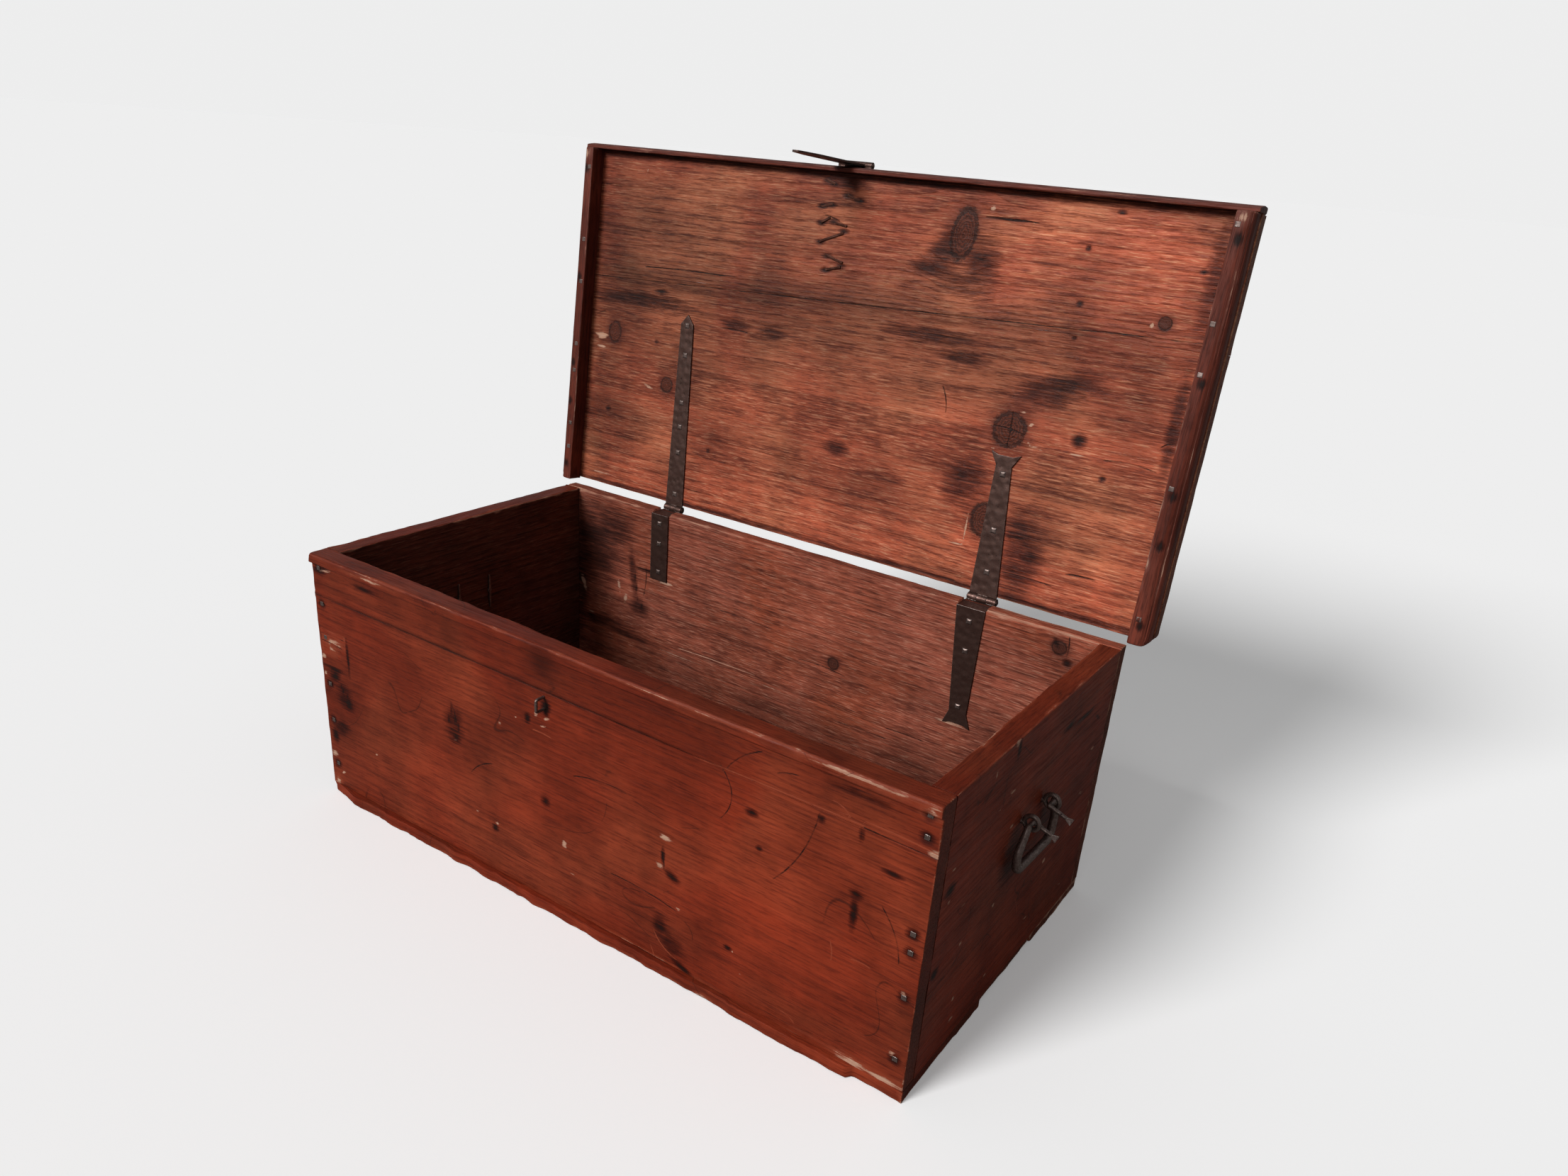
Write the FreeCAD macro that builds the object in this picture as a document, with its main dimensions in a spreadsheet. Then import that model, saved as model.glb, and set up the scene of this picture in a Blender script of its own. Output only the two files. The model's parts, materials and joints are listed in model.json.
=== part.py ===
import FreeCAD, Part
import math
import operator
import os
import Sketcher
from FreeCAD import Placement, Rotation, Vector

# An old pine travel trunk with wrought-iron fittings, in millimetres.
# X runs along the trunk, Y from its front to its back, Z up. The origin lies under the middle
# of the box, on the floor. The lid stands open, leaning back on its two strap hinges.

SIZES = {
    # Box
    "box_length": 950,
    "box_depth": 497,
    "wall_height": 354,
    "front_thickness": 25,
    "back_thickness": 21,
    "end_thickness": 28,
    "strip_height": 60,
    "nosing_proud": 5,
    "nosing_height": 13,
    "nosing_round": 4,
    "splinter_left": 84,
    "splinter_right": 342,
    "splinter_run": 60,
    "splinter_width": 5,
    "splinter_depth": 7,
    "bottom_thickness": 16,
    "bottom_proud": 8,
    "bottom_round": 5,
    "plank_end_step": 3,
    "plank_worn_corner": 48,
    "plank_broken_end": 62,
    "front_plank_seam": 190,
    "middle_plank_width": 150,
    "patch_from_end": 5,
    "patch_width": 52,
    "patch_height": 53,
    "patch_below_rim": 106,
    "patch_depth": 16,
    "old_hole_place": 71,
    "old_hole_below_rim": 105,
    "old_hole_radius": 4,
    "old_hole_slot": 5,
    "old_hole_depth": 14,
    # Lid
    "lid_thickness": 20,
    "lid_gap": 0.5,
    "lid_rear_overhang": 4,
    "lid_overhang": 1.5,
    "lid_corner": 9,
    "lid_open_angle": 96.5,
    "rear_board_left": 333,
    "rear_board_right": 353,
    "board_gap": 0.4,
    "cleat_gap": 1.5,
    "cleat_width": 25,
    "cleat_taper": 3,
    "cleat_depth": 25,
    "cleat_round": 15,
    "cleat_corner": 9,
    "cleat_tail": 2.5,
    "lip_gap": 1,
    "lip_thickness": 9,
    "lip_foot": 5,
    "lip_drop": 15,
    "lip_bevel": 22,
    "lip_round": 2,
    # Strap hinges
    "hinge_behind": 11,
    "hinge_below": 0.5,
    "iron_thickness": 2.5,
    "pin_radius": 2.5,
    "pin_clearance": 0.05,
    "knuckle_wall": 2.95,
    "knuckle_gap": 0.4,
    "notch_clearance": 1.2,
    "pin_head_height": 1.6,
    "pin_head_extra": 1.2,
    "left_hinge_place": 272,
    "left_leaf_width": 33,
    "left_leaf_length": 110,
    "left_strap_width": 33,
    "left_strap_waist": 23,
    "left_strap_length": 289,
    "left_strap_shoulder": 275,
    "left_strap_lean": 11,
    "right_hinge_place": 269,
    "right_leaf_width": 42,
    "right_leaf_waist": 26,
    "right_leaf_length": 177,
    "right_leaf_flare": 156,
    "right_leaf_lean": 3,
    "right_strap_width": 40,
    "right_strap_waist": 22,
    "right_strap_length": 191,
    "right_strap_flare": 174,
    "right_strap_lean": 7,
    "fishtail_width": 42,
    "fishtail_bite": 4,
    # Hasp and staple
    "hasp_place": 43,
    "hasp_strap_width": 52,
    "hasp_strap_tip": 22,
    "hasp_strap_length": 146,
    "hasp_strap_point": 24,
    "hasp_thickness": 2.5,
    "hasp_pin_radius": 2,
    "hasp_knuckle_wall": 2.45,
    "hasp_axis_above_lid": 4,
    "hasp_stand_off": 0.6,
    "hasp_length": 151,
    "hasp_root_width": 30,
    "hasp_slot_end_width": 27,
    "hasp_tip_width": 11,
    "hasp_tip_round": 5,
    "hasp_slot_width": 8,
    "hasp_slot_length": 25,
    "hasp_rest_tilt": 2,
    "staple_below_rim": 75,
    "staple_rise": 16,
    "staple_reach": 14.3,
    "staple_radius": 1.9,
    "staple_bend": 2.6,
    "staple_clinch": 20,
    # Drop handles
    "eye_above_wall_foot": 230,
    "eye_lift": 2,
    "eye_spacing": 59,
    "eye_ring_radius": 8.5,
    "eye_bar_radius": 2.8,
    "eye_shank_radius": 3.2,
    "eye_leg_up": 25,
    "eye_leg_down": 28,
    "eye_leg_width": 4,
    "eye_leg_thickness": 2.6,
    "eye_seat": 0.4,
    "bail_bar_radius": 4.2,
    "bail_middle_radius": 5.3,
    "bail_pin_radius": 3,
    "bail_pin_lift": 0.35,
    "bail_leg_offset": 8.5,
    "bail_tip_offset": 7.2,
    "bail_tip_length": 22,
    "bail_tip_drop": 8,
    "bail_tip_end_radius": 2.2,
    "bail_fin_length": 8,
    "bail_fin_width": 9,
    "bail_fin_thickness": 1.8,
    "bail_fin_root": 1.5,
    "bail_flare_front": 16,
    "bail_flare_back": 8,
    "bail_bow": 3,
    "bail_drop_front": 50,
    "bail_drop_back": 55,
    "bail_bend": 13,
    # Nails
    "nail_half_width": 1.5,
    "nail_tip_half_width": 0.4,
    "rose_half_width": 4,
    "rose_top_half_width": 1.8,
    "rose_height": 1.1,
    "sunk_half_width": 3,
    "sunk_height": 1.5,
    "corner_nail_length": 52,
    "bottom_nail_length": 46,
    "leaf_nail_length": 18,
    "strap_nail_length": 19,
    "cleat_nail_length": 40,
    "lip_nail_length": 34,
    "clinch_length": 28,
    "clinch_thickness": 1.5,
    "clinch_sunk_proud": 0.1,
    "corner_nail_inset": 14,
}

ANGLES = ("lid_open_angle", "hasp_rest_tilt")

# Where the nails stand, as shares of the length that each row follows.
# The first is at the left or the bottom, and the photographed corner sets the front ones.
front_right_nail_shares = (0.11, 0.34, 0.5, 0.565, 0.885, 0.955)
front_left_nail_shares = (0.10, 0.30, 0.46, 0.66, 0.80, 0.945)
back_nail_shares = (0.10, 0.32, 0.55, 0.78, 0.94)
bottom_long_nail_shares = (0.04, 0.2, 0.36, 0.52, 0.68, 0.84, 0.96)
bottom_end_nail_shares = (0.12, 0.28, 0.46, 0.62, 0.86)
left_leaf_nail_shares = (0.136, 0.44, 0.87)
right_leaf_nail_shares = (0.11, 0.355, 0.83)
left_strap_nail_shares = (0.056, 0.283, 0.42, 0.548, 0.794, 0.945)
right_strap_nail_shares = (0.163, 0.462, 0.854)
right_cleat_nail_shares = (0.061, 0.384, 0.647, 0.759, 0.97)
left_cleat_nail_shares = (0.101, 0.177, 0.344, 0.426, 0.614, 0.738, 0.945)
lip_nail_shares = (0.04, 0.21, 0.36, 0.62, 0.8, 0.96)
# Across the hasp's strap, along it, the part of a full turn that the clinched point lies at, its length
hasp_strap_nail_shares = ((-0.3, 0.16, 0.55, 0.5), (0.17, 0.25, 0.04, 0.7), (-0.3, 0.34, 0.46, 0.6),
                          (-0.3, 0.46, 0.42, 0.5), (-0.05, 0.5, 0.02, 0.6), (0.17, 0.58, 0.44, 1.35),
                          (-0.23, 0.79, 0.04, 1.0), (0.22, 0.88, 0.46, 0.8))

# How the splinter's far end and the old hole's slant follow their own sizes
splinter_right_share = 0.8
old_hole_slant_share = 1.6


class Length:
    """A size with its number and, as text, the expression that ties it to the spreadsheet."""

    def __init__(self, text, number):
        self.text = text
        self.number = number

    def __float__(self):
        return float(self.number)

    def __neg__(self):
        return Length("-(%s)" % self.text, -self.number)

    def __add__(self, other):
        return joined(self, "+", other)

    def __radd__(self, other):
        return joined(other, "+", self)

    def __sub__(self, other):
        return joined(self, "-", other)

    def __mul__(self, other):
        return joined(self, "*", other)

    def __truediv__(self, other):
        return joined(self, "/", other)


def as_length(thing):
    """Gives a plain number the form of a Length."""
    if isinstance(thing, Length):
        return thing
    return Length(repr(thing), thing)


def joined(first, sign, second):
    """Joins two lengths into one, in number and in text."""
    sums = {"+": operator.add, "-": operator.sub, "*": operator.mul, "/": operator.truediv}
    first = as_length(first)
    second = as_length(second)
    number = sums[sign](first.number, second.number)
    return Length("(%s %s %s)" % (first.text, sign, second.text), number)


doc = FreeCAD.newDocument("travel_trunk")
sheet = doc.addObject("Spreadsheet::Sheet", "Sizes")


class Sizes:
    """The driving sizes by name, each a Length bound to its cell."""


s = Sizes()
for row, (alias, number) in enumerate(SIZES.items(), 1):
    sheet.set("A%d" % row, alias)
    sheet.set("B%d" % row, str(number))
    sheet.setAlias("B%d" % row, alias)
    setattr(s, alias, Length("Sizes.%s" % alias, number))
doc.recompute()

zero = as_length(0)

# Lines and levels that the pieces share
front = -s.box_depth / 2
back = s.box_depth / 2
foot = s.bottom_thickness
rim = foot + s.wall_height
right_end = s.box_length / 2
left_end = -right_end
front_inside = front + s.front_thickness
back_inside = back - s.back_thickness
underside = rim + s.lid_gap
lid_top = underside + s.lid_thickness
lid_rear = back + s.lid_rear_overhang
lip_inside = front - s.nosing_proud - s.lip_gap
lip_outside = lip_inside - s.lip_thickness
cleat_inside = right_end + s.cleat_gap
cleat_outside = cleat_inside + s.cleat_width
lid_end = cleat_outside + s.lid_overhang
hinge_y = back + s.hinge_behind
hinge_z = rim - s.hinge_below
knuckle_radius = s.pin_radius + s.pin_clearance + s.knuckle_wall
leaf_bottom = hinge_z - knuckle_radius
leaf_top = leaf_bottom + s.iron_thickness
strap_bottom = underside - s.iron_thickness
hasp_knuckle_radius = s.hasp_pin_radius + s.pin_clearance + s.hasp_knuckle_wall
hasp_y = lip_outside - hasp_knuckle_radius - s.hasp_stand_off
hasp_z = lid_top + s.hasp_axis_above_lid
staple_z = rim - s.staple_below_rim
shank_z = foot + s.eye_above_wall_foot
eye_z = shank_z + s.eye_lift
seam = rim - s.strip_height
plank_seam = front + s.front_plank_seam

# The lid is drawn shut and swung open about its hinge axis
hinge_axis = Vector(0, float(hinge_y), float(hinge_z))
SHUT = Placement()
OPEN = Placement(Vector(0, 0, 0), Rotation(Vector(1, 0, 0), -float(s.lid_open_angle)), hinge_axis)
hasp_axis = Vector(0, float(hasp_y), float(hasp_z))
HASP = OPEN * Placement(Vector(0, 0, 0), Rotation(Vector(1, 0, 0), float(s.hasp_rest_tilt)), hasp_axis)

nodes = []


def node(thing, name):
    """Names a finished sub-part and keeps it for the hand-out."""
    thing.Label = name
    nodes.append(thing)
    return thing


def bind(thing, **sizes):
    """Ties properties of an object to the spreadsheet."""
    for name, size in sizes.items():
        thing.setExpression(name, as_length(size).text)


def box(name, low, high):
    """A board as a plain box between two corners."""
    thing = doc.addObject("Part::Box", name)
    bind(thing, Length=high[0] - low[0], Width=high[1] - low[1], Height=high[2] - low[2])
    for axis, place in zip("xyz", low):
        thing.setExpression(".Placement.Base.%s" % axis, as_length(place).text)
    return thing


def new_body(name, placement=SHUT):
    """An empty body, placed with the lid or the hasp where it rides on one."""
    body = doc.addObject("PartDesign::Body", name)
    body.Placement = placement
    return body


def new_sketch(body, name, role, offset):
    """A sketch on one of the body's own origin planes, moved along that plane's normal."""
    sketch = body.newObject("Sketcher::SketchObject", name)
    plane = next(feature for feature in body.Origin.OriginFeatures if feature.Role == role)
    sketch.AttachmentSupport = (plane, [""])
    sketch.MapMode = "FlatFace"
    sketch.setExpression(".AttachmentOffset.Base.z", as_length(offset).text)
    return sketch


def hold(sketch, kind, geometry, point, size):
    """Ties one coordinate of a sketch point to the spreadsheet."""
    rule = Sketcher.Constraint(kind, -1, 1, geometry, point, float(size))
    place = sketch.addConstraint(rule)
    sketch.setExpression("Constraints[%d]" % place, size.text)


def outline(body, name, role, offset, points):
    """A closed outline of straight edges through points given as lengths."""
    sketch = new_sketch(body, name, role, offset)
    points = [(as_length(a), as_length(b)) for a, b in points]
    corners = [Vector(float(a), float(b), 0) for a, b in points]
    count = len(corners)
    for i in range(count):
        sketch.addGeometry(Part.LineSegment(corners[i], corners[(i + 1) % count]), False)
    for i in range(count):
        sketch.addConstraint(Sketcher.Constraint("Coincident", i, 2, (i + 1) % count, 1))
    for i, (a, b) in enumerate(points):
        hold(sketch, "DistanceX", i, 1, a)
        hold(sketch, "DistanceY", i, 1, b)
    return sketch


def disc(body, name, role, offset, centre, radius):
    """A sketch with one circle."""
    sketch = new_sketch(body, name, role, offset)
    a, b = (as_length(part) for part in centre)
    ring = Part.Circle(Vector(float(a), float(b), 0), Vector(0, 0, 1), float(radius))
    sketch.addGeometry(ring, False)
    hold(sketch, "DistanceX", 0, 3, a)
    hold(sketch, "DistanceY", 0, 3, b)
    place = sketch.addConstraint(Sketcher.Constraint("Radius", 0, float(radius)))
    sketch.setExpression("Constraints[%d]" % place, radius.text)
    return sketch


def pad(body, sketch, length):
    """Raises a sketch along its normal."""
    feature = body.newObject("PartDesign::Pad", sketch.Name + "_pad")
    feature.Profile = sketch
    bind(feature, Length=length)
    sketch.Visibility = False
    doc.recompute()
    return feature


def pocket(body, sketch, length):
    """Sinks a sketch against its normal and makes sure that it cut."""
    before = body.Shape.Volume
    feature = body.newObject("PartDesign::Pocket", sketch.Name + "_pocket")
    feature.Profile = sketch
    bind(feature, Length=length)
    doc.recompute()
    if not body.Shape.Volume < before:
        raise RuntimeError("%s cuts nothing" % sketch.Name)
    return feature


def fillet(body, feature, radius, chosen):
    """Rounds those edges of a feature whose middle passes the test."""
    names = []
    for i, edge in enumerate(feature.Shape.Edges, 1):
        middle = edge.valueAt((edge.FirstParameter + edge.LastParameter) / 2)
        if chosen(middle, edge):
            names.append("Edge%d" % i)
    rounding = body.newObject("PartDesign::Fillet", feature.Name + "_round")
    rounding.Base = (feature, names)
    bind(rounding, Radius=radius)
    doc.recompute()
    return rounding


def near(number, size):
    """True where a coordinate lies on a named level."""
    return abs(number - float(size)) < float(s.lid_gap) / 10


def made(name, shape, placement=SHUT):
    """A wrought piece or a group of nails whose form comes from Part's own functions."""
    thing = doc.addObject("Part::Feature", name)
    thing.Shape = shape
    thing.Placement = placement
    return node(thing, name)


def cut(base, name, tools):
    """A board with the seats of what passes through it."""
    board = base
    for i, tool in enumerate(tools):
        result = doc.addObject("Part::Cut", "%s_cut_%d" % (name, i))
        result.Base = board
        result.Tool = tool
        board = result
    doc.recompute()
    return node(board, name)


def frustum(low_half, high_half, height, low_side=None, high_side=None):
    """A taper standing on the origin, along +Y: square, or with half sizes of its own along Z."""
    low = low_half if low_side is None else low_side
    high = high_half if high_side is None else high_side
    return Part.makeWedge(-low_half, 0, -low, -high, -high_half, low_half, height, low, high, high_half)


def nail(place, outward, length, head_half, top_half, head_height, sunk=False):
    """A wrought nail with its head at a place on the wood and its tip pointing inward."""
    head = frustum(head_half, top_half, head_height)
    shank = frustum(float(s.nail_tip_half_width), float(s.nail_half_width), length)
    shank.translate(Vector(0, -length, 0))
    solid = head.fuse(shank).removeSplitter()
    if sunk:
        solid.translate(Vector(0, -head_height, 0))
    turn = Rotation(Vector(0, 1, 0), outward)
    solid.Placement = Placement(place, turn).multiply(solid.Placement)
    return solid


def rose(place, outward, length):
    """A nail whose faceted head stands on iron."""
    return nail(place, outward, float(length), float(s.rose_half_width),
                float(s.rose_top_half_width), float(s.rose_height))


def sunk(place, outward, length):
    """A nail driven flush with the wood."""
    return nail(place, outward, float(length), float(s.nail_half_width),
                float(s.sunk_half_width), float(s.sunk_height), sunk=True)


def rounded_wire(points, radius):
    """A path of straight runs joined by tangent arcs."""
    edges = []
    start = points[0]
    for before, corner, after in zip(points, points[1:], points[2:]):
        inward = (corner - before).normalize()
        outward = (after - corner).normalize()
        reach = radius * math.tan(inward.getAngle(outward) / 2)
        first = corner - inward * reach
        last = corner + outward * reach
        bisector = (outward - inward).normalize()
        centre = corner + bisector * math.hypot(radius, reach)
        middle = centre - bisector * radius
        edges.append(Part.LineSegment(start, first).toShape())
        edges.append(Part.Arc(first, middle, last).toShape())
        start = last
    edges.append(Part.LineSegment(start, points[-1]).toShape())
    return Part.Wire(edges)


def bar(path, radius, middle_radius):
    """A round bar along a path, with one radius at its ends and another at the path's middle."""
    stations = ((path.Edges[0], 0, radius), (path.Edges[len(path.Edges) // 2], 0.5, middle_radius),
                (path.Edges[-1], 1, radius))
    sections = []
    for edge, share, size in stations:
        at = edge.FirstParameter + share * (edge.LastParameter - edge.FirstParameter)
        sections.append(Part.Wire(Part.makeCircle(size, edge.valueAt(at), edge.tangentAt(at))))
    return path.makePipeShell(sections, True, False)


# Front of the box: a wide lower board and a narrow upper one with a worn nosing
def front_upper_blank():
    body = new_body("front_upper_blank")
    nose = front - s.nosing_proud
    profile = [(front, seam), (front_inside, seam), (front_inside, rim), (nose, rim),
               (nose, rim - s.nosing_height), (front, rim - s.nosing_height)]
    board = pad(body, outline(body, "upper_profile", "YZ_Plane", left_end, profile), s.box_length)
    board = fillet(body, board, s.nosing_round,
                   lambda at, edge: near(at.y, nose) and near(at.x, zero))
    loss = [(-s.splinter_left, front_inside), (s.splinter_run - s.splinter_left, front_inside - s.splinter_width),
            (s.splinter_right - s.splinter_run, front_inside - s.splinter_width * splinter_right_share),
            (s.splinter_right, front_inside)]
    pocket(body, outline(body, "splinter_loss", "XY_Plane", rim, loss), s.splinter_depth)
    return body


def front_lower_blank():
    body = new_body("front_lower_blank")
    face = [(left_end, foot), (right_end, foot), (right_end, seam), (left_end, seam)]
    pad(body, outline(body, "lower_face", "XZ_Plane", -front_inside, face), s.front_thickness)
    middle = -s.old_hole_place
    level = rim - s.old_hole_below_rim
    half = s.old_hole_radius
    short = s.old_hole_slot
    tall = short * old_hole_slant_share
    slot = [(middle - half, level - short), (middle + half, level - tall),
            (middle + half, level + short), (middle - half, level + tall)]
    hole = outline(body, "old_hole", "XZ_Plane", -front, slot)
    pocket(body, hole, s.old_hole_depth)
    return body


# The floor: three planks under the walls, their front edge a little proud and rounded
def front_plank_blank():
    body = new_body("front_plank_blank")
    edge = front - s.bottom_proud
    broken = right_end - s.plank_broken_end
    worn = left_end + s.plank_worn_corner
    plan = [(left_end, front + s.nosing_round), (left_end + s.nosing_round, front), (worn, edge), (broken, edge),
            (broken, front), (right_end, front), (right_end, plank_seam), (left_end, plank_seam)]
    board = pad(body, outline(body, "front_plank_plan", "XY_Plane", zero, plan), s.bottom_thickness)
    fillet(body, board, s.bottom_round,
           lambda at, line: near(at.y, edge) and abs(line.tangentAt(0).x) > 0.9)
    return body


def plank(name, start, end, inset):
    """A floor plank across the whole box."""
    reach = right_end - inset
    return box(name + "_blank", (-reach, start, zero), (reach, end, foot))


# Nails at the corners and under the floor
def corner_nails():
    """Nails through the front and the back into the ends of the end boards."""
    reach = float(right_end - s.corner_nail_inset)
    height = float(s.wall_height)
    rows = ((front_right_nail_shares, reach, front, -1), (front_left_nail_shares, -reach, front, -1),
            (back_nail_shares, reach, back, 1), (back_nail_shares, -reach, back, 1))
    solids = {"front": [], "back": []}
    for shares, x, face, way in rows:
        side = "front" if way < 0 else "back"
        for share in shares:
            place = Vector(x, float(face), float(foot) + share * height)
            solids[side].append(sunk(place, Vector(0, way, 0), s.corner_nail_length))
    return solids


def bottom_nails():
    """Nails up through the planks into the walls."""
    solids = []
    down = Vector(0, 0, -1)
    for share in bottom_long_nail_shares:
        x = float(left_end) + share * float(s.box_length)
        for y in (front + s.front_thickness / 2, back - s.back_thickness / 2):
            solids.append(sunk(Vector(x, float(y), 0), down, s.bottom_nail_length))
    for share in bottom_end_nail_shares:
        y = float(front_inside) + share * float(back_inside - front_inside)
        for x in (right_end - s.end_thickness / 2, left_end + s.end_thickness / 2):
            solids.append(sunk(Vector(float(x), y, 0), down, s.bottom_nail_length))
    return solids


# Hinges: a leaf bent over the back board, a strap under the lid, and a pin
def leaf_outline(middle, width, length):
    """The left leaf: a plain strip with a worn square end."""
    half = width / 2
    low = leaf_top - length
    return [(middle - half, leaf_top), (middle - half, low), (middle + half, low), (middle + half, leaf_top)]


def fishtail(middle, width, waist, lean, top, flare_level, end_level):
    """A leaning strip that narrows to a waist and spreads into a fishtail with a hollow end."""
    half = width / 2
    tight = waist / 2
    wide = s.fishtail_width / 2
    end = middle + lean
    bite = end_level + s.fishtail_bite
    return [(middle - half, top), (end - tight, flare_level), (end - wide, end_level),
            (end - wide / 2, bite), (end + wide / 2, bite), (end + wide, end_level),
            (end + tight, flare_level), (middle + half, top)]


def box_leaf(name, middle, width, upright):
    """The leaf on the box: down the inside of the back board, over its top and round the pin."""
    body = new_body(name)
    half = width / 2
    third = width / 6
    clear = knuckle_radius + s.knuckle_gap
    pad(body, outline(body, name + "_upright", "XZ_Plane", -back_inside, upright), s.iron_thickness)
    over = [(middle - half, back_inside - s.iron_thickness), (middle + half, back_inside - s.iron_thickness),
            (middle + half, hinge_y), (middle - half, hinge_y)]
    pad(body, outline(body, name + "_over", "XY_Plane", leaf_bottom, over), s.iron_thickness)
    eye = disc(body, name + "_eye", "YZ_Plane", middle - half, (hinge_y, hinge_z), knuckle_radius)
    pad(body, eye, width)
    gap = [(middle - third - s.knuckle_gap, hinge_y - clear), (middle + third + s.knuckle_gap, hinge_y - clear),
           (middle + third + s.knuckle_gap, hinge_y + clear), (middle - third - s.knuckle_gap, hinge_y + clear)]
    pocket(body, outline(body, name + "_gap", "XY_Plane", hinge_z + clear, gap), clear * 2)
    bore = disc(body, name + "_bore", "YZ_Plane", middle + half, (hinge_y, hinge_z), s.pin_radius + s.pin_clearance)
    pocket(body, bore, width)
    return node(body, name)


def lid_strap(name, middle, width, plan):
    """The strap under the lid, with its eye between the two eyes of the leaf."""
    body = new_body(name, OPEN)
    third = width / 6
    clear = knuckle_radius + s.knuckle_gap
    pad(body, outline(body, name + "_plan", "XY_Plane", strap_bottom, plan), s.iron_thickness)
    neck = [(middle - third, hinge_y - clear - s.iron_thickness), (middle + third, hinge_y - clear - s.iron_thickness),
            (middle + third, hinge_y), (middle - third, hinge_y)]
    pad(body, outline(body, name + "_neck", "XY_Plane", strap_bottom, neck), s.iron_thickness)
    eye = disc(body, name + "_eye", "YZ_Plane", middle - third, (hinge_y, hinge_z), knuckle_radius)
    pad(body, eye, third * 2)
    bore = disc(body, name + "_bore", "YZ_Plane", middle + third, (hinge_y, hinge_z), s.pin_radius + s.pin_clearance)
    pocket(body, bore, third * 2)
    return node(body, name)


def riveted_pin(name, middle, width, size, level, placement=SHUT):
    """A pin with a hammered head at each end, along X through a point in Y and Z."""
    half = float(width) / 2
    radius = float(size)
    along = Vector(1, 0, 0)
    start = Vector(float(middle) - half, float(level[0]), float(level[1]))
    end = start + along * half * 2
    height = float(s.pin_head_height)
    wide = float(size + s.pin_head_extra)
    shape = Part.makeCylinder(radius, half * 2, start, along)
    shape = shape.fuse(Part.makeCone(radius, wide, height, start - along * height, along))
    shape = shape.fuse(Part.makeCone(wide, radius, height, end, along))
    return made(name, shape.removeSplitter(), placement)


# Drop handles: two split eye pins through the end board and a bail that hangs in them
def eye_pin(side, y):
    """A split pin: its eye outside, its legs opened and clinched on the inside of the end board."""
    ring = float(s.eye_ring_radius)
    bar_radius = float(s.eye_bar_radius)
    out = float(right_end) + ring + bar_radius + float(s.eye_seat)
    inside = float(right_end - s.end_thickness)
    shape = Part.makeTorus(ring, bar_radius, Vector(out, y, float(eye_z)), Vector(0, 1, 0))
    shank_start = inside - float(s.eye_leg_thickness)
    shank_end = out - math.sqrt(ring ** 2 - float(s.eye_lift) ** 2)
    shank = Part.makeCylinder(float(s.eye_shank_radius), shank_end - shank_start,
                              Vector(shank_start, y, float(shank_z)), Vector(1, 0, 0))
    shape = shape.fuse(shank)
    half = float(s.eye_leg_width) / 2
    thick = float(s.eye_leg_thickness)
    for way, length in ((1, float(s.eye_leg_up)), (-1, float(s.eye_leg_down))):
        leg = frustum(half, half / 2, length)
        leg = leg.common(Part.makeBox(thick, length, half * 2, Vector(-thick / 2, 0, -half)))
        leg.Placement = Placement(Vector(inside - thick / 2, y, float(shank_z)),
                                  Rotation(Vector(0, 1, 0), Vector(0, 0, way)))
        shape = shape.fuse(leg)
    shape = shape.removeSplitter()
    if side < 0:
        shape = shape.mirror(Vector(0, 0, 0), Vector(1, 0, 0))
    return shape


def bail_axis():
    """Where the bail's pins lie in the eyes: out from the middle, and up."""
    out = right_end + s.eye_ring_radius + s.eye_bar_radius + s.eye_seat
    up = eye_z - (s.eye_ring_radius - s.eye_bar_radius) + s.bail_pin_radius + s.bail_pin_lift
    return out, up


def bail_tip(start):
    """A round taper that leans out and down and ends in an upright fin, which is rooted in the taper."""
    run = Vector(float(s.bail_tip_length), 0, -float(s.bail_tip_drop))
    end_radius = float(s.bail_tip_end_radius)
    taper = Part.makeCone(float(s.bail_pin_radius), end_radius, run.Length, start, run)
    length = float(s.bail_fin_length)
    root = float(s.bail_fin_root)
    square = end_radius / math.sqrt(2)
    thin = float(s.bail_fin_thickness) / 2
    wide = float(s.bail_fin_width) / 2
    fin = frustum(square + (square - thin) * root / length, thin, length + root,
                  square - (wide - square) * root / length, wide)
    foot = start + run * (1 - root / run.Length)
    fin.Placement = Placement(foot, Rotation(Vector(0, 1, 0), run))
    return taper.fuse(fin)


def bail(side):
    """A bail made about its pins' axis; its ends pass through the eyes and turn out into hammered tips."""
    half = float(s.eye_spacing) / 2
    leg = half + float(s.bail_leg_offset)
    low_front = leg + float(s.bail_flare_front)
    low_back = leg + float(s.bail_flare_back)
    bow = float(s.bail_bow)
    tip = half - float(s.bail_tip_offset)
    pin = float(s.bail_pin_radius)
    radius = float(s.bail_bar_radius)
    front_drop = float(s.bail_drop_front)
    back_drop = float(s.bail_drop_back)
    corners = [Vector(0, -leg, 0), Vector(0, -low_front - bow, -front_drop / 2),
               Vector(0, -low_front, -front_drop), Vector(0, low_back, -back_drop),
               Vector(0, low_back + bow, -back_drop / 2), Vector(0, leg, 0)]
    shape = bar(rounded_wire(corners, float(s.bail_bend)), radius, float(s.bail_middle_radius))
    for way in (-1, 1):
        shape = shape.fuse(Part.makeSphere(radius, Vector(0, way * leg, 0)))
        shape = shape.fuse(Part.makeCylinder(pin, leg - tip, Vector(0, way * leg, 0), Vector(0, -way, 0)))
        shape = shape.fuse(Part.makeSphere(pin, Vector(0, way * tip, 0)))
        shape = shape.fuse(bail_tip(Vector(0, way * tip, 0)))
    shape = shape.removeSplitter()
    if side < 0:
        shape = shape.mirror(Vector(0, 0, 0), Vector(1, 0, 0))
    return shape


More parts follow.
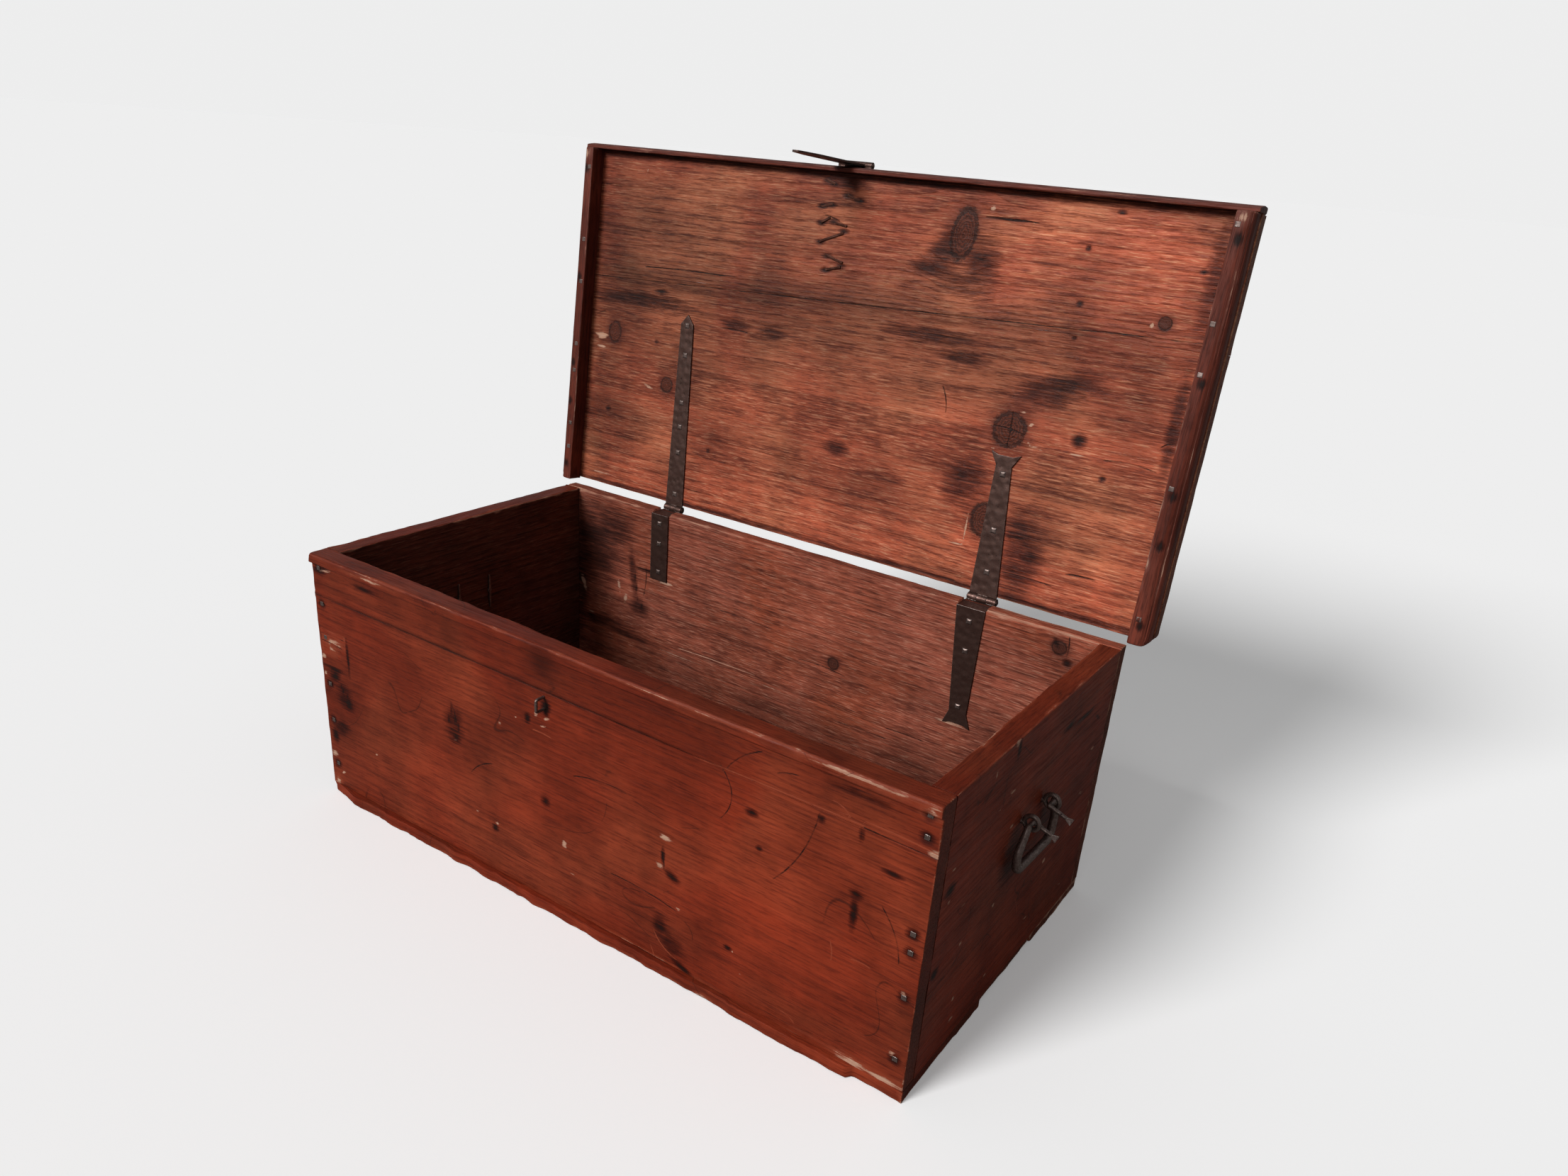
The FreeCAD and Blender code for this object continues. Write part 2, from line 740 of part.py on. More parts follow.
# The lid: two boards on cleats, a lip along the front, and the hasp on top
def lid_board(name, near_left, near_right, far_left, far_right):
    """A lid board between two edges, each given at its left and its right end."""
    body = new_body(name + "_blank", OPEN)
    plan = [(-lid_end, near_left), (lid_end, near_right), (lid_end, far_right), (-lid_end, far_left)]
    pad(body, outline(body, name + "_plan", "XY_Plane", underside, plan), s.lid_thickness)
    return body


def cleat(name, side):
    """A batten under the lid's end, wider to the rear, rounded along its outer lower edge and rear end."""
    body = new_body(name + "_blank", OPEN)
    inner = cleat_inside * side
    narrow = (cleat_inside + s.cleat_taper) * side
    outer = cleat_outside * side
    bottom = underside - s.cleat_depth
    end = lid_rear + s.cleat_tail
    plan = [(narrow, lip_inside), (outer, lip_inside), (outer, end), (inner, end)]
    board = pad(body, outline(body, name + "_plan", "XY_Plane", bottom, plan), s.cleat_depth)
    board = fillet(body, board, s.cleat_round,
                   lambda at, edge: near(at.x, outer) and near(at.z, bottom))
    fillet(body, board, s.cleat_corner,
           lambda at, edge: near(at.x, outer) and near(at.y, end))
    return body


def lip():
    """The strip along the lid's front edge, bevelled and rounded towards its foot."""
    body = new_body("front_lip_blank", OPEN)
    bottom = underside - s.lip_drop
    profile = [(lip_inside, lid_top), (lip_outside, lid_top), (lip_outside, bottom + s.lip_bevel),
               (lip_inside - s.lip_foot, bottom), (lip_inside, bottom)]
    strip = pad(body, outline(body, "lip_profile", "YZ_Plane", -lid_end, profile), lid_end * 2)
    fillet(body, strip, s.lip_round,
           lambda at, edge: near(at.x, zero) and at.y < float(lip_inside - s.lip_foot / 2))
    return body


def hasp_strap():
    """The strap nailed on the lid's top, ending in two eyes at the front edge."""
    body = new_body("hasp_strap", OPEN)
    middle = -s.hasp_place
    half = s.hasp_strap_width / 2
    tip = s.hasp_strap_tip / 2
    clear = hasp_knuckle_radius + s.knuckle_gap
    inner = s.hasp_root_width / 2 + s.knuckle_gap
    end = lip_outside + s.hasp_strap_length
    plan = [(middle - half, hasp_y), (middle + half, hasp_y), (middle + half, end - s.hasp_strap_point),
            (middle + tip, end), (middle - tip, end), (middle - half, end - s.hasp_strap_point)]
    pad(body, outline(body, "hasp_strap_plan", "XY_Plane", lid_top, plan), s.hasp_thickness)
    eye = disc(body, "hasp_strap_eye", "YZ_Plane", middle - half, (hasp_y, hasp_z), hasp_knuckle_radius)
    pad(body, eye, half * 2)
    gap = [(middle - inner, hasp_y - clear), (middle + inner, hasp_y - clear),
           (middle + inner, hasp_y + clear), (middle - inner, hasp_y + clear)]
    pocket(body, outline(body, "hasp_strap_gap", "XY_Plane", hasp_z + clear, gap), clear * 2)
    bore = disc(body, "hasp_strap_bore", "YZ_Plane", middle + half, (hasp_y, hasp_z),
                s.hasp_pin_radius + s.pin_clearance)
    pocket(body, bore, half * 2)
    return node(body, "hasp_strap")


def hasp_plate():
    """The hasp: a tapering plate with a slot for the staple, hung from its own eye."""
    body = new_body("hasp_plate", HASP)
    middle = -s.hasp_place
    root = s.hasp_root_width / 2
    waist = s.hasp_slot_end_width / 2
    tip = s.hasp_tip_width / 2
    low = hasp_z - s.hasp_length
    reach = s.hasp_slot_length / 2
    narrows = staple_z - reach
    face = [(middle - root, hasp_z), (middle + root, hasp_z), (middle + waist, narrows),
            (middle + tip, low), (middle - tip, low), (middle - waist, narrows)]
    sheet_back = hasp_y + s.hasp_thickness / 2
    plate = pad(body, outline(body, "hasp_face", "XZ_Plane", -sheet_back, face), s.hasp_thickness)
    fillet(body, plate, s.hasp_tip_round,
           lambda at, edge: near(at.z, low) and edge.Length < 2 * float(s.hasp_thickness))
    eye = disc(body, "hasp_eye", "YZ_Plane", middle - root, (hasp_y, hasp_z), hasp_knuckle_radius)
    pad(body, eye, root * 2)
    bore = disc(body, "hasp_bore", "YZ_Plane", middle + root, (hasp_y, hasp_z),
                s.hasp_pin_radius + s.pin_clearance)
    pocket(body, bore, root * 2)
    half = s.hasp_slot_width / 2
    slot = [(middle - half, staple_z - reach), (middle + half, staple_z - reach),
            (middle + half, staple_z + reach), (middle - half, staple_z + reach)]
    pocket(body, outline(body, "hasp_slot", "XZ_Plane", -sheet_back + s.hasp_thickness, slot), s.hasp_thickness)
    return node(body, "hasp_plate")


def staple():
    """The staple on the front: a round bar through the board, its legs clinched inside."""
    x = float(-s.hasp_place)
    up = float(s.staple_rise) / 2
    radius = float(s.staple_radius)
    level = float(staple_z)
    inside = float(front_inside) + radius
    crown = float(front) - float(s.staple_reach) + radius
    clinch = float(s.staple_clinch)
    corners = [Vector(x, inside, level + up + clinch), Vector(x, inside, level + up),
               Vector(x, crown, level + up), Vector(x, crown, level - up),
               Vector(x, inside, level - up), Vector(x, inside, level - up - clinch)]
    return bar(rounded_wire(corners, float(s.staple_bend)), radius, radius)


def clinched_nail(place, turned_to, proud, run):
    """A nail down through strap and lid, its tip turned over and hammered into the underside."""
    half = float(s.nail_half_width)
    length = float(s.hasp_thickness + s.lid_thickness) + proud
    head = frustum(float(s.rose_half_width), float(s.rose_top_half_width), float(s.rose_height))
    thick = float(s.clinch_thickness)
    shank = Part.makeBox(half * 2, length, half * 2, Vector(-half, -length, -half))
    turned = Part.makeBox(run, thick, half * 2, Vector(0, -length, -half))
    solid = head.fuse([shank, turned]).removeSplitter()
    turn = Rotation(Vector(0, 0, 1), turned_to).multiply(Rotation(Vector(1, 0, 0), 90))
    solid.Placement = Placement(place, turn)
    return solid


def group(shapes):
    """Several like fasteners as one node."""
    return Part.makeCompound(shapes)


def row(shares, middle, lean, start, run):
    """Pairs of places along a run that may lean sideways, from shares of its length."""
    return [(float(middle) + share * float(lean), float(start) + share * float(run)) for share in shares]


# Fasteners and fittings, which the boards are then cut to fit
corner = corner_nails()
front_nails = made("front_corner_nails", group(corner["front"]))
back_nails = made("back_corner_nails", group(corner["back"]))
floor_nails = made("floor_nails", group(bottom_nails()))

left_hinge = -s.left_hinge_place
right_hinge = s.right_hinge_place

box_leaf("left_box_leaf", left_hinge, s.left_leaf_width,
         leaf_outline(left_hinge, s.left_leaf_width, s.left_leaf_length))
box_leaf("right_box_leaf", right_hinge, s.right_leaf_width,
         fishtail(right_hinge, s.right_leaf_width, s.right_leaf_waist, s.right_leaf_lean, leaf_top,
                  leaf_top - s.right_leaf_flare, leaf_top - s.right_leaf_length))
lid_axis = (hinge_y, hinge_z)
riveted_pin("left_hinge_pin", left_hinge, s.left_leaf_width, s.pin_radius, lid_axis)
riveted_pin("right_hinge_pin", right_hinge, s.right_leaf_width, s.pin_radius, lid_axis)

leaf_spots = row(left_leaf_nail_shares, left_hinge, zero, leaf_top, -s.left_leaf_length)
leaf_spots += row(right_leaf_nail_shares, right_hinge, s.right_leaf_lean, leaf_top, -s.right_leaf_length)
leaf_face = float(back_inside - s.iron_thickness)
leaf_nails = made("box_leaf_nails", group([
    rose(Vector(x, leaf_face, level), Vector(0, -1, 0), s.leaf_nail_length)
    for x, level in leaf_spots]))

staple_part = made("hasp_staple", staple())

bail_out, bail_up = bail_axis()
eye_half = float(s.eye_spacing) / 2
eyes = {}
for side, word in ((1, "right"), (-1, "left")):
    for y, end in ((-eye_half, "front"), (eye_half, "back")):
        name = "%s_handle_%s_eye" % (word, end)
        eyes[name] = made(name, eye_pin(side, y))
    pins = Vector(side * float(bail_out), 0, float(bail_up))
    made("%s_handle_bail" % word, bail(side), Placement(pins, Rotation()))

# Box boards
cut(front_upper_blank(), "front_upper_board", [front_nails])
patch_top = rim - s.patch_below_rim
patch_left = left_end + s.patch_from_end
patch = box("corner_patch", (patch_left, front, patch_top - s.patch_height),
            (patch_left + s.patch_width, front + s.patch_depth, patch_top))
cut(front_lower_blank(), "front_lower_board", [front_nails, staple_part, floor_nails, patch])
cut(patch, "front_patch", [front_nails])
back_blank = box("back_blank", (left_end, back_inside, foot), (right_end, back, rim))
notches = []
for name, middle, width in (("left_notch", left_hinge, s.left_leaf_width),
                            ("right_notch", right_hinge, s.right_leaf_width)):
    half = width / 2 + s.notch_clearance
    notches.append(box(name, (middle - half, back_inside, leaf_bottom), (middle + half, back, rim)))
cut(back_blank, "back_board", notches + [back_nails, leaf_nails, floor_nails])
for side, word in ((1, "right"), (-1, "left")):
    inner = (right_end - s.end_thickness) * side
    outer = right_end * side
    low, high = (inner, outer) if side > 0 else (outer, inner)
    blank = box(word + "_end_blank", (low, front_inside, foot), (high, back_inside, rim))
    own = [thing for name, thing in eyes.items() if name.startswith(word)]
    cut(blank, word + "_end_board", [front_nails, back_nails, floor_nails] + own)

# Floor planks
rear_seam = plank_seam + s.middle_plank_width
cut(front_plank_blank(), "front_plank", [floor_nails])
cut(plank("middle_plank", plank_seam, rear_seam, s.plank_end_step), "middle_plank", [floor_nails])
cut(plank("rear_plank", rear_seam, back, zero), "rear_plank", [floor_nails])

# Lid ironwork
left_half = s.left_strap_width / 2
left_waist = s.left_strap_waist / 2
strap_start = hinge_y - knuckle_radius - s.knuckle_gap
left_tip = left_hinge - s.left_strap_lean
left_plan = [(left_hinge - left_half, strap_start), (left_hinge + left_half, strap_start),
             (left_tip + left_waist, lid_rear - s.left_strap_shoulder), (left_tip, lid_rear - s.left_strap_length),
             (left_tip - left_waist, lid_rear - s.left_strap_shoulder)]
lid_strap("left_lid_strap", left_hinge, s.left_leaf_width, left_plan)
right_plan = fishtail(right_hinge, s.right_strap_width, s.right_strap_waist, -s.right_strap_lean, strap_start,
                      lid_rear - s.right_strap_flare, lid_rear - s.right_strap_length)
lid_strap("right_lid_strap", right_hinge, s.right_leaf_width, right_plan)

strap_spots = row(left_strap_nail_shares, left_hinge, -s.left_strap_lean, lid_rear, -s.left_strap_length)
strap_spots += row(right_strap_nail_shares, right_hinge, -s.right_strap_lean, lid_rear, -s.right_strap_length)
strap_nails = made("lid_strap_nails", group([
    rose(Vector(x, y, float(strap_bottom)), Vector(0, 0, -1), s.strap_nail_length)
    for x, y in strap_spots]), OPEN)

cleat_run = lid_rear - lip_inside
cleat_middle = cleat_inside + s.cleat_width / 3
cleat_bottom = float(underside - s.cleat_depth)
cleat_spots = row(right_cleat_nail_shares, cleat_middle, zero, lid_rear, -cleat_run)
cleat_spots += row(left_cleat_nail_shares, -cleat_middle, zero, lid_rear, -cleat_run)
cleat_nails = made("cleat_nails", group([
    sunk(Vector(x, y, cleat_bottom), Vector(0, 0, -1), s.cleat_nail_length)
    for x, y in cleat_spots]), OPEN)

lip_nail_level = float(underside + s.lid_thickness / 2)
lip_nails = made("lip_nails", group([
    sunk(Vector(x, float(lip_outside), lip_nail_level), Vector(0, -1, 0), s.lip_nail_length)
    for level, x in row(lip_nail_shares, zero, zero, -lid_end, lid_end * 2)]), OPEN)

hasp_strap()
riveted_pin("hasp_pin", -s.hasp_place, s.hasp_strap_width, s.hasp_pin_radius, (hasp_y, hasp_z), OPEN)
hasp_plate()
clinch_top = float(lid_top + s.hasp_thickness)
clinches = []
for across, along, turn_share, length_share in hasp_strap_nail_shares:
    x = float(-s.hasp_place) + across * float(s.hasp_strap_width)
    y = float(lip_outside) + along * float(s.hasp_strap_length)
    run = length_share * float(s.clinch_length)
    over_front = y < float(front_inside) + run
    proud = float(s.clinch_sunk_proud if over_front else s.clinch_thickness)
    clinches.append(clinched_nail(Vector(x, y, clinch_top), 360 * turn_share, proud, run))
hasp_nails = made("hasp_strap_nails", group(clinches), OPEN)

# Each piece of iron that nails pass through is opened for them
for name, nails in (("left_box_leaf", leaf_nails), ("right_box_leaf", leaf_nails),
                    ("left_lid_strap", strap_nails), ("right_lid_strap", strap_nails),
                    ("hasp_strap", hasp_nails)):
    plain = next(thing for thing in nodes if thing.Label == name)
    nodes.remove(plain)
    plain.Label = name + "_blank"
    cut(plain, name, [nails])

# Lid boards, cleats and lip
seam_left = lid_rear - s.rear_board_left
seam_right = lid_rear - s.rear_board_right
rear_blank = lid_board("lid_rear_board", seam_left, seam_right, lid_rear, lid_rear)
fillet(rear_blank, rear_blank.Tip, s.lid_corner,
       lambda at, edge: near(abs(at.x), lid_end) and near(at.y, lid_rear))
cut(rear_blank, "lid_rear_board", [strap_nails, cleat_nails, hasp_nails])
cut(lid_board("lid_front_board", lip_inside, lip_inside, seam_left - s.board_gap, seam_right - s.board_gap),
    "lid_front_board", [hasp_nails, cleat_nails, lip_nails])
cut(cleat("left_cleat", -1), "left_cleat", [cleat_nails])
cut(cleat("right_cleat", 1), "right_cleat", [cleat_nails])
cut(lip(), "front_lip", [lip_nails])

# Every object has worked and every sub-part is a sound solid before anything is written
doc.recompute()
for thing in doc.Objects:
    if "Invalid" in thing.State or "Error" in thing.State:
        raise RuntimeError("%s failed: %s" % (thing.Name, thing.State))
os.makedirs("parts", exist_ok=True)
for thing in nodes:
    shape = thing.Shape
    if shape.isNull() or not shape.isValid() or not shape.Solids:
        raise RuntimeError("%s has no sound shape" % thing.Label)
    shape.exportStep("parts/%s.step" % thing.Label)
    print("%-24s %3d solids %10.1f cm3" % (thing.Label, len(shape.Solids), shape.Volume / 1000))

print("lid hinge", [float(part) for part in (zero, hinge_y, hinge_z)])
print("hasp hinge", OPEN.multVec(hasp_axis))
print("bail axis", float(bail_out), float(bail_up))
print("nodes", len(nodes))
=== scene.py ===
import json
import math
from itertools import product
import bpy
import numpy as np
from mathutils import Matrix, Vector


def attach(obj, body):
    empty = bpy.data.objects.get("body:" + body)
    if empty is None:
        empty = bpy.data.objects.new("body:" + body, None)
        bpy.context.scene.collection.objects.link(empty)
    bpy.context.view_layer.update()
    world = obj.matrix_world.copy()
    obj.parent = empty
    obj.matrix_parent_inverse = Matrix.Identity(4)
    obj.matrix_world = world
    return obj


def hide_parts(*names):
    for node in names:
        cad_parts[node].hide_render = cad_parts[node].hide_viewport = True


bl_info = {
    "name": "Travel trunk",
    "version": (1, 1, 0),
    "blender": (4, 5, 0),
    "location": "3D View > Sidebar > Trunk",
    "description": "Dresses the packed model of an old pine travel trunk with worn boards and forged iron",
    "category": "Object",
}

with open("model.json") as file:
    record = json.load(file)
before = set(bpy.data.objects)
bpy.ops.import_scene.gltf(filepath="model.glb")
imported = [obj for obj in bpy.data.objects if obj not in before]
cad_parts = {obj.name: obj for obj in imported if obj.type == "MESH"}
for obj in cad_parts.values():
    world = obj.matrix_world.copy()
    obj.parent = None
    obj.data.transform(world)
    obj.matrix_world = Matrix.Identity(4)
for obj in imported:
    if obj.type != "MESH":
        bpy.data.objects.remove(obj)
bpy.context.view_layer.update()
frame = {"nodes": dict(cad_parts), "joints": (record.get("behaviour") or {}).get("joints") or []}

MM = 0.001
HINGE = next(joint for joint in frame["joints"] if joint["name"] == "lid_hinge")
HINGE_POINT = np.array(HINGE["pos_m"]) / MM
LID_OPEN = math.radians(HINGE["range_deg"][1])


def turned(points, angle):
    """Points in millimetres turned about the lid's hinge, in radians about +X."""
    turn = np.array(Matrix.Rotation(angle, 3, "X"))
    return (points - HINGE_POINT) @ turn.T + HINGE_POINT


def cad_points(node):
    """The CAD points of a node at rest, in millimetres."""
    mesh = frame["nodes"][node].data
    points = np.empty(len(mesh.vertices) * 3)
    mesh.vertices.foreach_get("co", points)
    return points.reshape(-1, 3) / MM


def span(node, shut=False):
    """Lowest and highest corner of a CAD node, at rest or as it lies with the lid shut."""
    points = cad_points(node)
    if shut:
        points = turned(points, LID_OPEN)
    return points.min(axis=0), points.max(axis=0)


def linear(code):
    """An sRGB hex colour as linear red, green, blue and alpha."""
    parts = np.array([int(code[i:i + 2], 16) for i in (1, 3, 5)]) / 255
    low = parts / 12.92
    high = ((parts + 0.055) / 1.055) ** 2.4
    return (*np.where(parts <= 0.04045, low, high).tolist(), 1.0)


SIZES = (
    ("edge_round", "Mean radius that use has put on a board's edges", 0.0016, 0.0003, 0.006),
    ("edge_wear", "Mean width of the rubbed band along a board's edges", 0.0026, 0.0, 0.02),
    ("unevenness", "How far a hand-planed face wanders from flat", 0.0004, 0.0, 0.002),
    ("grid", "Distance between points on a board's face", 0.0030, 0.002, 0.02),
    ("ring_width", "Mean width of the pine's growth rings", 0.0042, 0.001, 0.012),
)
COLOURS = (
    ("outside", "#792a16", "Red-brown stain on the front and ends"),
    ("outside_warm", "#883c24", "Stain that lets the pine's own warmth through"),
    ("outside_late", "#4c150a", "Late wood under the red-brown stain"),
    # Each wood's rubbed colour is rubbed wood, and also the painted highlight on its raised fibres
    ("outside_rubbed", "#8c4029", "Red-brown stain rubbed off at edges"),
    ("lid", "#984a32", "Early wood of the lid's underside"),
    ("lid_warm", "#b06a49", "Lighter heart of the lid's boards"),
    ("lid_late", "#4a190f", "Late wood of the lid's underside"),
    ("lid_rubbed", "#c58d6c", "Raised fibres on the lid's underside"),
    ("inside", "#8c4a38", "Early wood of the sawn inside faces"),
    ("inside_warm", "#94452a", "Resin-red stretches of the sawn faces"),
    ("inside_late", "#431c14", "Late wood of the sawn inside faces"),
    ("inside_rubbed", "#c08e76", "Raised fibres on the sawn inside faces"),
    ("trim", "#5e281c", "Dark stain on the lid's battens and lip"),
    ("trim_warm", "#74382a", "Dark stain worn thin"),
    ("trim_late", "#2c110b", "Late wood under the dark stain"),
    ("trim_rubbed", "#74443a", "Handled, greyed wood of the battens"),
    # Bare wood also paints the pale glints beside the lid's knots
    ("bare", "#bd9780", "Wood where the stain is worn through"),
    # Soot also paints the shadow of the right end's handle
    ("soot", "#1a0c09", "Dirt and old iron stain"),
    ("iron", "#45261b", "Hammered wrought iron"),
    # Polished iron, also painted as glints on the heights and as highlights along the edges
    ("iron_rubbed", "#c2b8b2", "Iron polished by handling"),
    ("rust", "#421f13", "Thin old rust on the iron"),
    ("floor", "#fbfbfb", "Plain pale floor"),
    ("floor_bounce", "#85807c", "The floor as the object's own light meets it"),
)


def label(name):
    """A property's label, from its name."""
    return name.replace("_", " ").capitalize()


class TrunkSizes(bpy.types.PropertyGroup):
    """Sizes of the wear on the boards, in metres."""
    __annotations__ = {
        name: bpy.props.FloatProperty(name=label(name), description=words, default=size, min=least, max=most,
                                      unit="LENGTH")
        for name, words, size, least, most in SIZES}


class TrunkColours(bpy.types.PropertyGroup):
    """Colours of the woods and the iron."""
    __annotations__ = {
        name: bpy.props.FloatVectorProperty(name=label(name), description=words, default=linear(code),
                                            subtype="COLOR", size=4, min=0.0, max=1.0)
        for name, code, words in COLOURS}


TABLE_SIZE = 4096
PRIMES = (73856093, 19349663, 83492791)


def noise(points, cell, seed):
    """Smooth noise from -1 to 1: random numbers at the corners of cells, blended by 3t^2 - 2t^3."""
    table = np.random.default_rng(seed).uniform(-1, 1, TABLE_SIZE)
    q = points / np.asarray(cell, float)
    base = np.floor(q).astype(np.int64)
    part = q - base
    part = part * part * (3 - 2 * part)
    total = np.zeros(len(points))
    for corner in product((0, 1), repeat=3):
        key = np.bitwise_xor.reduce((base + corner) * PRIMES, axis=1)
        total += table[key % TABLE_SIZE] * np.where(corner, part, 1 - part).prod(axis=1)
    return total


def waves(points, mean, rows, seed):
    """A mean plus noises, each row a cell in millimetres, an amount and a step from the seed."""
    total = mean
    for cell, amount, step in rows:
        total = total + amount * noise(points, cell, seed + step)
    return total


def smooth(low, high, value):
    """0 below low, 1 above high, and 3t^2 - 2t^3 between."""
    t = np.clip((value - low) / (high - low), 0, 1)
    return t * t * (3 - 2 * t)


def hills(points, rows):
    """The sum of soft hills: each row's last number times e to the minus r squared."""
    total = np.zeros(len(points))
    for x, y, half_x, half_y, amount in rows:
        total += amount * np.exp(-((points[:, 0] - x) / half_x) ** 2 - ((points[:, 1] - y) / half_y) ** 2)
    return total


EDGE_BAND = 6.0
NEAR_SHARES = (0, 0.06, 0.15, 0.28, 0.5, 0.75)


def lines(low, high, step, extra=()):
    """Grid lines from low to high: close together near both ends, and at each extra place."""
    edge = min(EDGE_BAND, (high - low) / 3)
    near = edge * np.array(NEAR_SHARES)
    count = max(2, int(math.ceil((high - low - 2 * edge) / step)) + 1)
    middle = np.linspace(low + edge, high - edge, count)
    return np.unique(np.round(np.concatenate([low + near, middle, high - near, np.asarray(extra, float)]), 4))


def box_surface(axes):
    """The six faces of a box on one lattice of lines, welded where they meet.

    Returns the points, outward quads, and for each quad the axis and the side (-1 or 1) that it faces.
    """
    counts = [len(axis) for axis in axes]
    ids = np.arange(np.prod(counts)).reshape(counts)
    quads = []
    facing = []
    for axis, side in product(range(3), (-1, 1)):
        face = np.take(ids, 0 if side < 0 else -1, axis=axis)
        corners = [face[:-1, :-1], face[1:, :-1], face[1:, 1:], face[:-1, 1:]]
        forward = (side > 0) != (axis == 1)
        order = corners if forward else corners[::-1]
        quads.append(np.stack([corner.ravel() for corner in order], axis=1))
        facing.append(np.tile([axis, side], (len(quads[-1]), 1)))
    used, quads = np.unique(np.concatenate(quads), return_inverse=True)
    i, j, k = np.unravel_index(used, counts)
    points = np.stack([axes[0][i], axes[1][j], axes[2][k]], axis=1)
    return points, quads.reshape(-1, 4), np.concatenate(facing)


def make_mesh(name, points, faces, attributes=(), slots=None):
    """A smooth-shaded object from points in millimetres and quads, with its attributes and material slots."""
    mesh = bpy.data.meshes.new(name)
    mesh.from_pydata((points * MM).tolist(), [], faces.tolist())
    mesh.polygons.foreach_set("use_smooth", np.ones(len(mesh.polygons), bool))
    if slots is not None:
        mesh.polygons.foreach_set("material_index", slots.astype(np.int32))
    for label, kind, field, values in attributes:
        layer = mesh.attributes.new(label, kind, "POINT")
        layer.data.foreach_set(field, np.asarray(values, np.float32).ravel())
    mesh.update()
    piece = bpy.data.objects.new(name, mesh)
    bpy.context.scene.collection.objects.link(piece)
    return piece


def ellipse_level(points, rows):
    """The greatest of 1 - r over the rows, r being an ellipse's own radius from its centre.

    A row is the centre, the half sizes and, for a turned ellipse, a tilt in degrees.
    """
    level = np.full(len(points), -3.0)
    for x, y, half_x, half_y, *tilt in rows:
        turn = math.radians(sum(tilt))
        dx = points[:, 0] - x
        dy = points[:, 1] - y
        a = dx * math.cos(turn) + dy * math.sin(turn)
        b = dy * math.cos(turn) - dx * math.sin(turn)
        level = np.maximum(level, 1 - np.hypot(a / half_x, b / half_y))
    return level


STROKE_REACH = 9
STROKE_FADE = 6


def stroke_field(points, rows):
    """Signed distance to the nearest stroke, how near it is, and whether it is pale.

    A row is both ends, the bow between them and 1 for a pale stroke. The signed distance runs
    straight through zero, so a fine line stays sharp between wide points.
    """
    field = np.zeros((len(points), 3))
    for x0, y0, x1, y1, bow, pale in rows:
        length = math.hypot(x1 - x0, y1 - y0)
        along = np.array([(x1 - x0) / length, (y1 - y0) / length])
        rel = points - np.array([x0, y0])
        t = rel @ along / length
        offset = rel @ np.array([-along[1], along[0]]) - bow * 4 * t * (1 - t)
        beyond = np.maximum(np.maximum(-t, t - 1), 0) * length
        reach = 1 - np.abs(offset) / STROKE_REACH - beyond / STROKE_FADE
        nearer = reach > field[:, 1]
        field[nearer] = np.stack([offset, reach, np.full(len(points), float(pale))], axis=1)[nearer]
    return field


RING_STRETCH = 9
RING_WANDER = ((38, 9, 0), (14, 3, 1))
KNOT_REACH = (2.8, 2.1)
KNOT_PUSH = 0.85


def grain_field(place, pith, ring, knots, seed):
    """Growth rings: distance from a wandering pith over the ring width, its lines pushed round each knot."""
    along, across, through = place[:, 0], place[:, 1].copy(), place[:, 2]
    for x, y, half_x, half_y, *tilt in knots:
        far = ((along - x) / (half_x * KNOT_REACH[0])) ** 2
        near = np.exp(-far - ((across - y) / (half_y * KNOT_REACH[1])) ** 2)
        across = y + (across - y) * (1 - KNOT_PUSH * near)
    stretched = np.stack([along / RING_STRETCH, across, through], axis=1)
    wander = waves(stretched, 0, RING_WANDER, seed)
    return np.hypot(across - pith[0] + wander, through - pith[1]) / ring


def round_corner(points, low, high, axis_a, side_a, axis_b, side_b, radius):
    """Rounds one long edge: each square ring about the edge's centre line is drawn in to a quarter circle."""
    centre_a = (high if side_a > 0 else low)[axis_a] - side_a * radius
    centre_b = (high if side_b > 0 else low)[axis_b] - side_b * radius
    a = (points[:, axis_a] - centre_a) * side_a
    b = (points[:, axis_b] - centre_b) * side_b
    both = (a > 0) & (b > 0)
    share = np.where(both, np.maximum(a, b) / np.maximum(np.hypot(a, b), 1e-9), 1)
    points[:, axis_a] = np.where(both, centre_a + side_a * a * share, points[:, axis_a])
    points[:, axis_b] = np.where(both, centre_b + side_b * b * share, points[:, axis_b])


NO_MARKS = {"knots": (), "worn": (), "dark": (), "pale": (), "cuts": (), "tones": (), "dents": ()}
# How radius, hollow and rubbed band wander: cell in millimetres, amount, step from the board's seed
RADIUS_WAVES = ((28, 0.7, 0), (9, 0.5, 3))
HOLLOW_WAVES = ((70, 0.5, 5), (14, 0.3, 6))
BAND_WAVES = ((55, 0.9, 8), (13, 0.8, 9))
OFF_FACE = -4.0
HOLE_AREA = 150
HOLE_DEPTH = 1.4
MOST_SOAKED_AND_SHADED = 0.5
MOST_RUBBED = 0.5
END_TONE = -0.45
JOINT_FADE = (0.5, 6)
FAR_AWAY = 99
LEAST_RADIUS = 0.25
LEAST_BAND = 0.25


